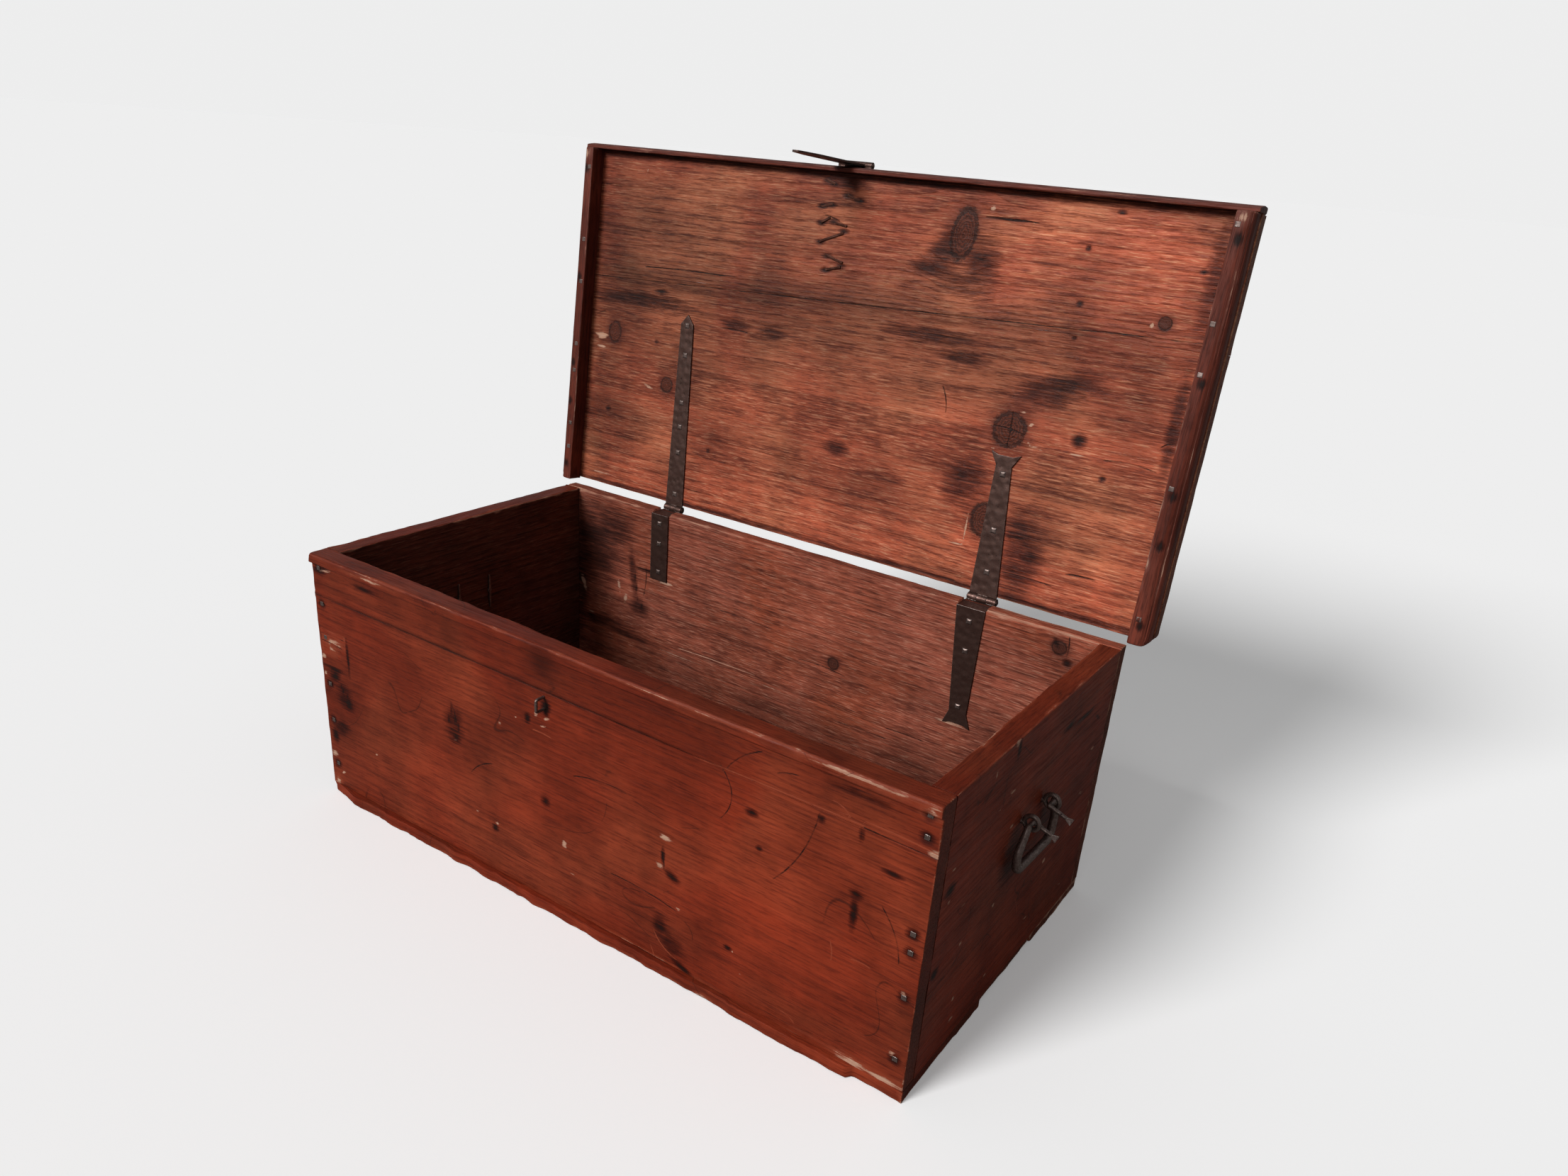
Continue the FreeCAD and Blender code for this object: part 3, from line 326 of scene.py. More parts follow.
def worn_box(low, high, step, edge, extra, joined, radius, seed):
    """The points of a board: sharp, rounded and outward, with its quads and the way each faces."""
    unevenness = bpy.context.scene.trunk_sizes.unevenness / MM
    sharp, quads, facing = box_surface([lines(low[i], high[i], step, extra[i]) for i in range(3)])
    bend = edge * waves(sharp, 1, RADIUS_WAVES, seed)
    if radius is not None:
        bend = radius(sharp, bend)
    gaps = {-1: sharp - low, 1: high - sharp}
    for axis, side in joined:
        bend = bend * smooth(*JOINT_FADE, gaps[side][:, axis])
        gaps[side][:, axis] = FAR_AWAY
    bend = np.clip(bend, LEAST_RADIUS, (high - low).min() / 2 - 0.01)[:, None]
    core = np.clip(sharp, low + bend, high - bend)
    away = sharp - core
    away /= np.linalg.norm(away, axis=1)[:, None]
    points = core + away * bend
    sunk = unevenness * waves(sharp, 0.5, HOLLOW_WAVES, seed)
    points -= away * np.maximum(sunk, 0)[:, None]
    to_edge = np.sort(np.minimum(gaps[-1], gaps[1]), axis=1)[:, 1]
    return sharp, points, away, bend[:, 0], to_edge, quads, facing


def board(name, node, woods, low=None, high=None, along=0, face=(1, 1), pith=(0, -60), ring=None, grid=None,
          edge=None, wear=1.0, extra=((), (), ()), joined=(), rounds=(), radius=None, shape=None,
          marks=NO_MARKS, top_painted_shade=0, back_tone_and_shade=0, seed=1, lid=False):
    """A hand-planed board with worn edges, in place of a CAD node and as large as it unless told.

    Each point of a sharp box is pulled to the rounded box inside it: the box shrunk by the radius,
    plus the radius along the direction from that core. The radius wanders with smooth noise and
    goes to nothing at joined faces. Marks lie on the face across the axis face[0], on its side
    face[1], in the board's own two coordinates, the first of them along the grain where there are
    knots. The opposite face has the second wood.
    """
    sizes = bpy.context.scene.trunk_sizes
    marks = {**NO_MARKS, **marks}
    if low is None:
        low, high = span(node, lid)
    low, high = np.asarray(low), np.asarray(high)
    sharp, points, away, bend, to_edge, quads, facing = worn_box(
        low, high, grid or sizes.grid / MM, edge or sizes.edge_round / MM, extra, joined, radius, seed)

    axis, side = face
    others = [i for i in range(3) if i != axis]
    plane = sharp[:, others]
    place = sharp[:, [along] + [i for i in others if i != along] + [axis]]
    off_face = np.abs(sharp[:, axis] - (high if side > 0 else low)[axis])
    shown = (off_face < 0.5 + bend) & (away[:, axis] * side > 0.5)
    hidden = np.where(shown, 0, OFF_FACE)
    points -= away * np.where(shown, hills(plane, marks["dents"]), 0)[:, None]

    # The rubbed band along the free edges is wide in some places and a hairline in others
    width = sizes.edge_wear / MM * wear * waves(sharp, 0.55, BAND_WAVES, seed)
    rubbed = 1 - to_edge / np.maximum(width, LEAST_BAND)
    worn = np.maximum(ellipse_level(plane, marks["worn"]) + hidden, np.clip(rubbed, -3, MOST_RUBBED))
    # A small dark mark is a hole or a nail's dirt, quite black; a wide one, a stain or a painted shadow, only
    # darkens the fibres
    holes = [row for row in marks["dark"] if row[2] * row[3] <= HOLE_AREA]
    stains_and_shadows = [row for row in marks["dark"] if row[2] * row[3] > HOLE_AREA]
    soaked_and_shaded = np.minimum(ellipse_level(plane, stains_and_shadows), MOST_SOAKED_AND_SHADED)
    dark = np.maximum(HOLE_DEPTH * ellipse_level(plane, holes), soaked_and_shaded) + hidden
    pale, knot = (ellipse_level(plane, marks[kind]) + hidden for kind in ("pale", "knots"))
    at_end = np.minimum(sharp - low, high - sharp)[:, along] < 0.4
    tone = np.where(shown, hills(plane, marks["tones"]), 0) + np.where(at_end, END_TONE, 0)
    # Faces that look up are darkened: painted shade against the strong light from above
    tone += np.where(away[:, 2] > 0.8, top_painted_shade, 0)
    # The face behind gets its own tone; on the end boards it darkens the inside, in part as painted shade
    tone += np.where(away[:, axis] * side < -0.8, back_tone_and_shade, 0)
    cut = stroke_field(plane, marks["cuts"])
    cut[~shown] = 0
    rings = grain_field(place, pith, ring or sizes.ring_width / MM, marks["knots"], seed + 11)
    for row in rounds:
        round_corner(points, low, high, *row)
    if shape is not None:
        points = shape(points, sharp)
    if lid:
        points = turned(points, -LID_OPEN)
    colours = np.stack([worn, dark, pale, tone], axis=1)
    attributes = (("place", "FLOAT_VECTOR", "vector", place * MM), ("rings", "FLOAT", "value", rings),
                  ("knot", "FLOAT", "value", knot), ("marks", "FLOAT_COLOR", "color", colours),
                  ("cut", "FLOAT_VECTOR", "vector", cut))
    behind = (facing[:, 0] == axis) & (facing[:, 1] == -side)
    dress(make_mesh(name, points, quads, attributes, behind), node, "lid" if lid else "box", woods)


WHITE = (1, 1, 1, 1)


def add(tree, kind, inputs=None, out=0, **settings):
    """Adds a shader node, with sockets in its inputs linked and values set; one output, or all for None."""
    node = tree.nodes.new("ShaderNode" + kind)
    for name, value in settings.items():
        setattr(node, name, value)
    for name, value in (inputs or {}).items():
        if isinstance(value, bpy.types.NodeSocket):
            tree.links.new(value, node.inputs[name])
        else:
            node.inputs[name].default_value = value
    return node.outputs if out is None else node.outputs[out]


# What a step of a recipe adds: the node, the sockets that its terms fill, and its settings
STEPS = {
    "RANGE": ("MapRange", range(5), {}),
    "CURVE": ("MapRange", range(5), {"interpolation_type": "SMOOTHSTEP"}),
    "MIX": ("Mix", (0, 6, 7), {"data_type": "RGBA", "out": 2}),
    "TINT": ("Mix", (0, 6, 7), {"data_type": "RGBA", "blend_type": "MULTIPLY", "out": 2}),
}


def follow(tree, recipe, named):
    """Adds a node for each step of a recipe: the result's name, the operation and its terms.

    A term that is a word stands for a value or an earlier result. A range's terms are the source,
    what it goes from and to, and what that becomes. An operation that STEPS doesn't list is one of
    the math node's own.
    """
    for result, operation, *terms in recipe:
        kind, sockets, settings = STEPS.get(operation, ("Math", range(3), {"operation": operation}))
        terms = [named[term] if isinstance(term, str) else term for term in terms]
        named[result] = add(tree, kind, dict(zip(sockets, terms)), **settings)


def material(name):
    """An empty node material."""
    made = bpy.data.materials.new(name)
    made.use_nodes = True
    made.node_tree.nodes.clear()
    return made, made.node_tree


def finish_material(tree, inputs):
    """Ends a material in one principled shader."""
    shader = add(tree, "BsdfPrincipled", inputs)
    add(tree, "OutputMaterial", {"Surface": shader}, out=None)


# Each noise: its width in mm, squeeze along the grain, detail, roughness and distortion. A pine fibre is
# 0.04 mm wide and a pore 0.2 mm, too fine for the render, so they are drawn 3 mm and 1.6 mm wide
WOOD_NOISES = {
    "fibre": (3.0, 0.045, 4, 0.7, 0),
    "pore": (1.6, 0.075, 3, 0.6, 0),
    "streak": (10, 0.014, 3, 0.5, 0.4),
    "cloud": (95, 1, 5, 0.62, 0),
    "grit": (4.5, 1, 4, 0.72, 0),
    "mottle": (13, 0.4, 5, 0.68, 0),
    "drift": (160, 1, 1, 0.5, 0.6),
}
WOOD_RECIPE = (
    # Late wood is a narrow dark line that ends each ring, fainter where the cloud is light
    ("wavy", "MULTIPLY_ADD", "streak", 0.9, "rings"),
    ("wavy", "MULTIPLY_ADD", "fibre", 0.35, "wavy"),
    ("part", "FRACT", "wavy"),
    ("rise", "CURVE", "part", 0.3, 0.86),
    ("fall", "CURVE", "part", 1.0, 0.9),
    ("line", "MULTIPLY", "rise", "fall"),
    ("strong", "RANGE", "cloud", 0.35, 0.6, 0.35, "ring_show"),
    ("broken", "RANGE", "pore", 0.42, 0.58, 0.2, 1),
    ("shown", "MULTIPLY", "line", "strong"),
    ("shown", "MULTIPLY", "shown", "broken"),
    ("warmth", "RANGE", "drift", 0.42, 0.66, 0, 0.6),
    ("tone", "MIX", "warmth", "early", "warm"),
    ("tone", "MIX", "shown", "tone", "late"),
    # Dark fibres and pores, wider where a stain has soaked in and under painted shadows, and raised fibres
    # painted in the rubbed colour as highlights
    ("soaked_and_shaded", "RANGE", "dark", -0.5, 0.5, 0, 0.12),
    ("thirsty", "ADD", "fibre", "soaked_and_shaded"),
    ("open_pore", "ADD", "pore", "soaked_and_shaded"),
    ("fibres", "RANGE", "thirsty", 0.5, 0.64, 0, "fibre_show"),
    ("pores", "RANGE", "open_pore", 0.55, 0.65, 0, "fibre_show"),
    ("raised_glint", "RANGE", "open_pore", 0.45, 0.33, 0, "glint"),
    ("tone", "MIX", "fibres", "tone", "late"),
    ("tone", "MIX", "pores", "tone", "late"),
    ("tone", "MIX", "raised_glint", "tone", "rubbed"),
    # Lighter and darker streaks and clouds, and the tones placed on the mesh, among them painted shade on
    # upward and inner faces and painted highlights and sheen on the lid
    ("band", "RANGE", "streak", 0.3, 0.7, "streak_dark", "streak_light"),
    ("patch", "RANGE", "cloud", 0.32, 0.68, "cloud_light", "cloud_dark"),
    ("light", "MULTIPLY", "band", "patch"),
    ("placed", "ADD", "tones", 1.0),
    ("light", "MULTIPLY", "light", "placed"),
    ("tone", "TINT", 1.0, "tone", "light"),
    # A knot: its own rings and cracks inside, a sooty rim, and a resin-dark ring of wood round it
    ("ragged", "MULTIPLY_ADD", "grit", 0.5, "knot"),
    ("ragged", "SUBTRACT", "ragged", 0.25),
    ("own", "MULTIPLY", "ragged", 34.0),
    ("own", "SINE", "own"),
    ("own", "RANGE", "own", -1, 1, 0.12, 0.36),
    ("heart", "TINT", 1.0, "early", "own"),
    ("in_knot", "RANGE", "ragged", -0.06, 0.08),
    ("halo", "RANGE", "ragged", -0.9, 0, 0, 0.6),
    ("tone", "MIX", "halo", "tone", "late"),
    ("tone", "MIX", "in_knot", "tone", "heart"),
    ("off_rim", "ABSOLUTE", "ragged"),
    ("gone", "RANGE", "mottle", 0.35, 0.6, 0.02, 0.3),
    ("rim", "RANGE", "off_rim", "gone", 0, 0, 0.85),
    ("tone", "MIX", "rim", "tone", "soot"),
    # Rubbed places, stains and painted shadows, holes, and chips and painted glints get ragged edges that
    # follow the fibres
    ("edge", "ADD", "fibre", "mottle"),
    ("edge", "MULTIPLY_ADD", "edge", 1.7, -1.7),
    ("worn", "ADD", "worn", "edge"),
    ("dark", "ADD", "dark", "edge"),
    ("pale", "ADD", "pale", "edge"),
    ("thin", "RANGE", "worn", -0.1, 0.6, 0, 0.65),
    ("through", "RANGE", "worn", 0.62, 0.85, 0, 0.9),
    # The stain mask also carries the painted shadows
    ("stain", "RANGE", "dark", -0.25, 0.7, 0, 0.85),
    ("hole", "RANGE", "dark", 0.6, 1, 0, 0.9),
    ("chip_and_glint", "RANGE", "pale", 0.3, 0.6, 0, 0.9),
    ("fibred", "MIX", "fibres", "bare", "rubbed"),
    ("tone", "MIX", "thin", "tone", "rubbed"),
    ("tone", "MIX", "through", "tone", "fibred"),
    ("tone", "TINT", "stain", "tone", "oil_and_shade"),
    ("tone", "MIX", "hole", "tone", "soot"),
    ("tone", "MIX", "chip_and_glint", "tone", "fibred"),
    # Hair scratches are the level lines of a slow noise, cut into lengths by another
    ("off_hair", "SUBTRACT", "drift", 0.5),
    ("off_hair", "ABSOLUTE", "off_hair"),
    ("hairline", "RANGE", "off_hair", 0.004, 0.001, 0, "hair"),
    ("lengths", "RANGE", "cloud", 0.5, 0.56),
    ("hairline", "MULTIPLY", "hairline", "lengths"),
    ("tone", "MIX", "hairline", "tone", "soot"),
    # Placed scratches, cracks and a painted shadow line waver, skip, and thin out towards their ends
    ("beside", "MULTIPLY_ADD", "grit", 1.6, "offset"),
    ("beside", "SUBTRACT", "beside", 0.8),
    ("beside", "ABSOLUTE", "beside"),
    ("stroke", "RANGE", "beside", 1.1, 0.4),
    ("kept", "RANGE", "reach", 0.45, 0.85),
    ("stroke", "MULTIPLY", "stroke", "kept"),
    ("skips", "RANGE", "mottle", 0.38, 0.58, 0.25, 1),
    ("ink", "MIX", "cut_pale", "soot", "rubbed"),
    ("inked", "MULTIPLY", "stroke", "skips"),
    ("tone", "MIX", "inked", "tone", "ink"),
    # Relief and sheen
    ("height", "MULTIPLY", "fibre", -1.0),
    *(("height", "MULTIPLY_ADD", word, amount, "height") for word, amount in (
        ("line", 0.5), ("pores", -0.7), ("raised_glint", 0.8), ("stain", -0.5), ("chip_and_glint", -0.4), ("rim", -0.5),
        ("grit", 0.3), ("stroke", -0.9))),
    ("sheen", "RANGE", "fibre", 0.3, 0.7, "smoothest", "roughest"),
    ("sheen", "MULTIPLY_ADD", "thin", 0.2, "sheen"),
)
# Dirty oil darkens the wood that it has soaked; the same tint darkens the painted shadows
OIL_AND_SHADE = "#80665a"
WOOD_RELIEF = 0.8
# A worn film of stain reflects less than a whole coat, which is 0.5
WOOD_SPECULAR = 0.17


def wood(name, colours, kind, ring_show, fibre_show, glint, streak_show, cloud_show, relief, rough, hair):
    """Old softwood.

    Ring lines come from the rings attribute; fibres, pores and clouds are noise drawn out along the
    grain; knots, stains, chips, rubbed edges, scratches and cracks come from the marks on the mesh.
    """
    made, tree = material(name)
    named = {"ring_show": ring_show, "fibre_show": fibre_show, "glint": glint, "hair": hair,
             "streak_dark": 1 - streak_show, "streak_light": 1 + streak_show,
             "cloud_light": 1 + 0.45 * cloud_show, "cloud_dark": 1 - 0.55 * cloud_show,
             "smoothest": rough - 0.1, "roughest": rough + 0.2,
             "early": getattr(colours, kind), "oil_and_shade": linear(OIL_AND_SHADE), "bare": colours.bare,
             "soot": colours.soot}
    for word in ("warm", "late", "rubbed"):
        named[word] = getattr(colours, kind + "_" + word)
    place, cut = (add(tree, "Attribute", attribute_name=word, out=1) for word in ("place", "cut"))
    for word in ("rings", "knot"):
        named[word] = add(tree, "Attribute", attribute_name=word, out=2)
    marks = add(tree, "Attribute", attribute_name="marks", out=None)
    named["tones"] = marks[3]
    named.update(zip(("worn", "dark", "pale"), add(tree, "SeparateColor", {0: marks[0]}, out=None)))
    named.update(zip(("offset", "reach", "cut_pale"), add(tree, "SeparateXYZ", {0: cut}, out=None)))
    for word, (width, squeeze, detail, roughness, distortion) in WOOD_NOISES.items():
        drawn = place
        if squeeze != 1:
            drawn = add(tree, "VectorMath", {0: place, 1: (squeeze, 1, 1)}, operation="MULTIPLY")
        named[word] = add(tree, "TexNoise", {"Vector": drawn, "Scale": 1 / (width * MM), "Detail": detail,
                                             "Roughness": roughness, "Distortion": distortion})
    follow(tree, WOOD_RECIPE, named)
    bump = add(tree, "Bump", {"Strength": relief, "Distance": WOOD_RELIEF * MM, "Height": named["height"]})
    finish_material(tree, {"Base Color": named["tone"], "Roughness": named["sheen"], "Normal": bump,
                           "Specular IOR Level": WOOD_SPECULAR})


IRON_RECIPE = (
    ("pit", "RANGE", "grain", 0.42, 0.3),
    ("cover", "RANGE", "patch", 0.47, 0.66, 0, 0.8),
    ("tone", "MIX", "cover", "iron", "rust"),
    ("tone", "MIX", "overall", "tone", "rubbed"),
    # Painted glints on the heights of the grain
    ("high", "RANGE", "grain", 0.52, 0.7, 0, "glint_on_heights"),
    ("tone", "MIX", "high", "tone", "rubbed"),
    ("tone", "MIX", "pit", "tone", "soot"),
    # Where the softened normal leaves the true one there is an edge, and edges are painted bright: partly
    # polish, partly painted highlight
    ("edge", "RANGE", "alike", 0.985, 0.8, 0, "rim"),
    ("broken", "RANGE", "grain", 0.35, 0.6),
    ("edge", "MULTIPLY", "edge", "broken"),
    ("tone", "MIX", "edge", "tone", "rubbed"),
    ("height", "MULTIPLY_ADD", "grain", 0.15, "facet"),
    ("sheen", "RANGE", "grain", 0.3, 0.7, 0.52, 0.3),
)
# Hammer marks lie 10 mm apart and rust spreads in patches of 22 mm. Scale flakes are about 0.5 mm, too
# fine for the render, so they are drawn 3 mm wide
HAMMER, FLAKE, RUST_PATCH = 10, 3, 22
EDGE_SOFT = 0.9
IRON_RELIEF = 1.2
# Forged iron under scale and rust is only in part bare metal
IRON_METALLIC = 0.75


def iron(name, colours, rub, rim=0.6):
    """Hammered wrought iron: dull grey-brown facets, rust in the hollows, bright where rubbed; painted glints
    and edge highlights.
    """
    made, tree = material(name)
    at = add(tree, "TexCoord", out=3)
    soft = add(tree, "Bevel", {"Radius": EDGE_SOFT * MM}, samples=6)
    true = add(tree, "NewGeometry", out=1)
    grain = {"Vector": at, "Scale": 1 / (FLAKE * MM), "Detail": 4.0, "Roughness": 0.7}
    facet = {"Vector": at, "Scale": 1 / (HAMMER * MM), "Smoothness": 0.7}
    named = {
        "iron": colours.iron, "rust": colours.rust, "rubbed": colours.iron_rubbed, "soot": colours.soot,
        "overall": 0.45 * rub, "glint_on_heights": 0.7 * rub, "rim": rim,
        "grain": add(tree, "TexNoise", grain),
        "facet": add(tree, "TexVoronoi", facet, feature="SMOOTH_F1"),
        "patch": add(tree, "TexNoise", {"Vector": at, "Scale": 1 / (RUST_PATCH * MM), "Detail": 4.0}),
        "alike": add(tree, "VectorMath", {0: soft, 1: true}, operation="DOT_PRODUCT", out=1),
    }
    follow(tree, IRON_RECIPE, named)
    bump = add(tree, "Bump", {"Strength": 0.75, "Distance": IRON_RELIEF * MM, "Height": named["height"],
                              "Normal": soft})
    finish_material(tree, {"Base Color": named["tone"], "Roughness": named["sheen"], "Normal": bump,
                           "Metallic": IRON_METALLIC})
    return made


# Marks, in millimetres: x from the box's left end, then the height above the floor, half sizes and a tilt.
# A cut has both its ends, a bow and 1 where it is pale; a tone has an amount in place of the tilt
FRONT = {
    "dark": ((616, 66, 10, 16), (636, 46, 18, 12, -25), (274, 190, 10, 8), (266, 226, 2, 14),
     (272, 214, 2, 20), (278, 206, 3, 14), (260, 212, 2, 9), (271, 208, 16, 26), (46, 168, 15, 20, 20),
     (42, 176, 3, 14, 20), (52, 170, 3, 12, 20), (432, 160, 9, 7), (632, 142, 12, 7, -20), (618, 165, 3, 12),
     (340, 83, 6, 6), (404, 265, 5, 8), (868, 231, 9, 6), (868, 208, 5, 22), (735, 272, 9, 5),
     (748, 232, 5, 4), (820, 300, 5, 5), (867, 301, 4, 8), (28, 196, 14, 9, 30), (52, 160, 10, 12),
     (30, 115, 18, 12, 20), (15, 98, 8, 14), (18, 349, 20, 6, 10), (110, 346, 26, 4), (906, 273, 12, 4),
     (435, 290, 8, 12), (715, 85, 6, 4), (60, 232, 3, 28), (28, 206, 32, 3), (652, 22, 22, 5, -20),
     (20, 12, 26, 8, 20), (866, 346, 40, 4)),
    "pale": ((462, 112, 6, 10, 10), (613, 149, 8, 5), (272, 186, 6, 2), (418, 276, 5, 5),
     (436, 275, 7, 3, 20), (428, 262, 10, 2, 20), (307, 94, 3, 3), (355, 241, 3, 4), (383, 259, 3, 2),
     (344, 90, 5, 4), (476, 74, 7, 2), (643, 102, 4, 4), (735, 57, 4, 3), (722, 83, 2, 2), (758, 74, 2, 2),
     (883, 44, 2, 2), (700, 223, 2, 2), (105, 100, 3, 2), (6, 194, 6, 6), (8, 66, 12, 7), (6, 220, 8, 6),
     (946, 314, 10, 6), (30, 350, 22, 3, 10), (935, 140, 6, 5), (932, 60, 8, 5), (922, 21, 34, 6),
     (880, 18, 26, 3), (220, 2, 4, 9), (24, 40, 8, 3, 20), (620, 190, 12, 5), (798, 362, 2, 2)),
    "worn": ((20, 234, 28, 12), (10, 20, 12, 18), (600, 17, 140, 4), (890, 22, 80, 8)),
    "cuts": ((414, 253, 442, 252, 1, 1), (697, 250, 692, 312, -14, 0), (817, 305, 770, 205, 8, 0),
     (607, 56, 642, 30, -5, 1), (604, 30, 612, 8, 1, 1), (725, 16, 786, 14, 1, 1), (793, 38, 810, 31, 2, 1),
     (833, 327, 852, 317, 2, 1), (870, 319, 948, 316, 1, 1), (655, 309, 868, 313, 1, 1),
     (765, 332, 787, 338, 1, 0), (480, 215, 560, 224, 4, 0), (2, 310, 655, 310, 0, 0),
     (868, 311, 948, 310, 0, 0), (300, 150, 338, 176, 4, 0), (540, 104, 640, 98, 3, 0),
     (700, 312, 742, 348, 4, 0), (845, 160, 848, 140, 1, 1), (872, 152, 893, 152, 1, 1),
     (616, 170, 620, 150, 1, 0), (268, 236, 276, 205, 2, 0), (500, 8, 690, 7, 0, 1),
     (900, 230, 925, 175, 5, 0)),
    "tones": ((860, 200, 190, 90, 0.22), (560, 150, 130, 80, 0.1), (180, 90, 150, 60, 0.06),
     (30, 150, 70, 120, -0.25), (430, 240, 60, 60, -0.18), (428, 346, 22, 26, -0.4), (640, 50, 50, 30, -0.2),
     (60, 330, 120, 40, -0.12), (475, 345, 520, 34, -0.32), (120, 190, 150, 110, -0.1),
     (230, 311, 260, 2.5, -0.5), (560, 311, 120, 2, -0.35), (475, 60, 520, 40, -0.08),
     (870, 260, 30, 60, -0.15), (945, 180, 20, 200, -0.25), (475, 20, 500, 14, -0.18)),
}
# The lid's underside: x from the box's left end, then the distance forward from the plain rear edge
LID_MARKS = {
    "knots": ((621, 443, 17, 32, 5), (734, 212, 22, 22), (722, 92, 17, 22), (162, 178, 11, 11),
     (48, 245, 12, 16), (900, 366, 8, 8)),
    "dark": ((596, 418, 18, 30, 20), (652, 405, 24, 34), (585, 398, 30, 12), (785, 62, 30, 52),
     (775, 88, 20, 26), (688, 140, 26, 34, 30), (640, 380, 40, 14), (440, 497, 30, 14), (414, 494, 14, 14),
     (100, 300, 90, 12), (280, 284, 24, 7), (345, 282, 22, 9), (600, 312, 60, 9), (780, 268, 55, 20, -15),
     (650, 290, 34, 9), (788, 443, 4, 4), (683, 466, 36, 2), (868, 51, 20, 1.6), (798, 30, 34, 1.6),
     (820, 488, 6, 3), (868, 175, 5, 4), (792, 376, 5, 4), (794, 334, 4, 3), (256, 92, 4, 3), (47, 121, 6, 5),
     (930, 430, 6, 4), (828, 215, 10, 10), (480, 140, 18, 10), (134, 241, 5, 3), (750, 0, 500, 4),
     (250, 0, 300, 4), (135, 316, 14, 5), (945, 420, 12, 60), (940, 250, 8, 60)),
    # The pale marks from x 690 to 830 beside the knots at 734, 212 and 722, 92 are painted highlights on
    # raised fibres; the others are chips
    "pale": ((20, 236, 14, 6), (24, 218, 14, 3), (126, 169, 16, 5, 20), (764, 200, 9, 2.5, 40),
     (778, 196, 12, 2, 15), (762, 223, 6, 2.5, -40), (803, 190, 14, 2, 10), (748, 237, 9, 2.5),
     (716, 186, 8, 2, 20), (690, 52, 14, 2), (600, 462, 10, 2), (655, 478, 5, 4), (700, 75, 2, 24),
     (830, 198, 16, 2), (85, 480, 2, 9, 20), (222, 445, 2, 9), (50, 12, 50, 2), (632, 505, 7, 3),
     (264, 14, 2, 9), (885, 362, 3, 6)),
    "cuts": ((-28, 327.5, 978, 348.5, 0, 0), (648, 467, 718, 466, 1, 0), (6, 457, 32, 457, 1, 0),
     (850, 50, 886, 52, 1, 0), (765, 31, 832, 30, 1, 0), (224, 24, 252, 24, 0, 0), (222, 67, 243, 68, 0, 0),
     (255, 278, 302, 277, 1, 0), (240, 351, 270, 352, 1, 0), (713, 214, 756, 209, 2, 0),
     (734, 234, 735, 192, 1, 0), (630, 250, 640, 220, 2, 0), (866, 198, 930, 196, 3, 0),
     (930, 226, 942, 232, 1, 0), (8, 268, 24, 274, 1, 0), (800, 345, 940, 347, 1, 0),
     (100, 350, 250, 352, 1, 0), (410, 447, 440, 437, 2, 0)),
    # The light tones at 700, 70 and 790, 205 are painted highlights by the knots, and the one at 830, 440 a
    # painted sheen
    "tones": ((480, 28, 480, 36, 0.3), (830, 440, 190, 60, 0.6), (450, 470, 200, 34, 0.05),
     (475, 338, 520, 22, -0.3), (500, 300, 300, 60, -0.25), (60, 250, 110, 260, -0.22),
     (220, 420, 240, 110, -0.16), (860, 70, 110, 60, 0.25), (700, 70, 40, 60, 0.3), (790, 205, 70, 16, 0.35),
     (60, 430, 120, 90, -0.2), (280, 230, 200, 60, -0.1), (450, 385, 130, 32, -0.16),
     (430, 165, 160, 16, 0.14), (820, 130, 90, 60, 0.1), (200, 320, 180, 30, -0.18),
     (30, 200, 40, 300, -0.15), (120, 240, 110, 40, -0.14), (600, 220, 160, 30, 0.08),
     (640, 445, 50, 50, -0.1), (930, 250, 26, 260, 0.12)),
}
BACK_MARKS = {
    "knots": ((540, 217, 9, 9), (872, 348, 10, 9)),
    "dark": ((148, 252, 7, 46, 8), (154, 240, 2, 40, 8), (162, 196, 18, 15), (168, 200, 3, 9),
     (60, 275, 60, 60), (105, 320, 40, 26), (30, 200, 18, 90), (886, 330, 7, 6), (868, 352, 4, 9, 30),
     (150, 140, 60, 6), (70, 150, 60, 10), (180, 265, 40, 3)),
    "pale": ((118, 225, 4, 18, 10), (132, 205, 5, 14, -10), (40, 205, 6, 18, 20), (60, 160, 20, 3),
     (215, 254, 26, 4), (190, 278, 9, 3), (420, 140, 60, 2), (230, 136, 70, 2), (740, 190, 36, 3)),
    "cuts": ((883, 365, 884, 340, 1, 0), (176, 270, 172, 222, 2, 0), (330, 240, 420, 238, 2, 0),
     (250, 150, 400, 152, 1, 1), (560, 126, 640, 128, 1, 0), (640, 145, 700, 146, 1, 0),
     (480, 205, 560, 203, 3, 0)),
    "tones": ((500, 330, 300, 60, 0.15), (60, 280, 90, 110, -0.35), (120, 215, 40, 50, 0.35),
     (45, 190, 40, 50, 0.3), (480, 168, 420, 12, 0.3), (480, 110, 500, 26, -0.1), (820, 260, 60, 60, 0.3),
     (895, 352, 20, 14, 0.3), (872, 330, 40, 40, -0.2), (540, 217, 26, 26, 0.15)),
}
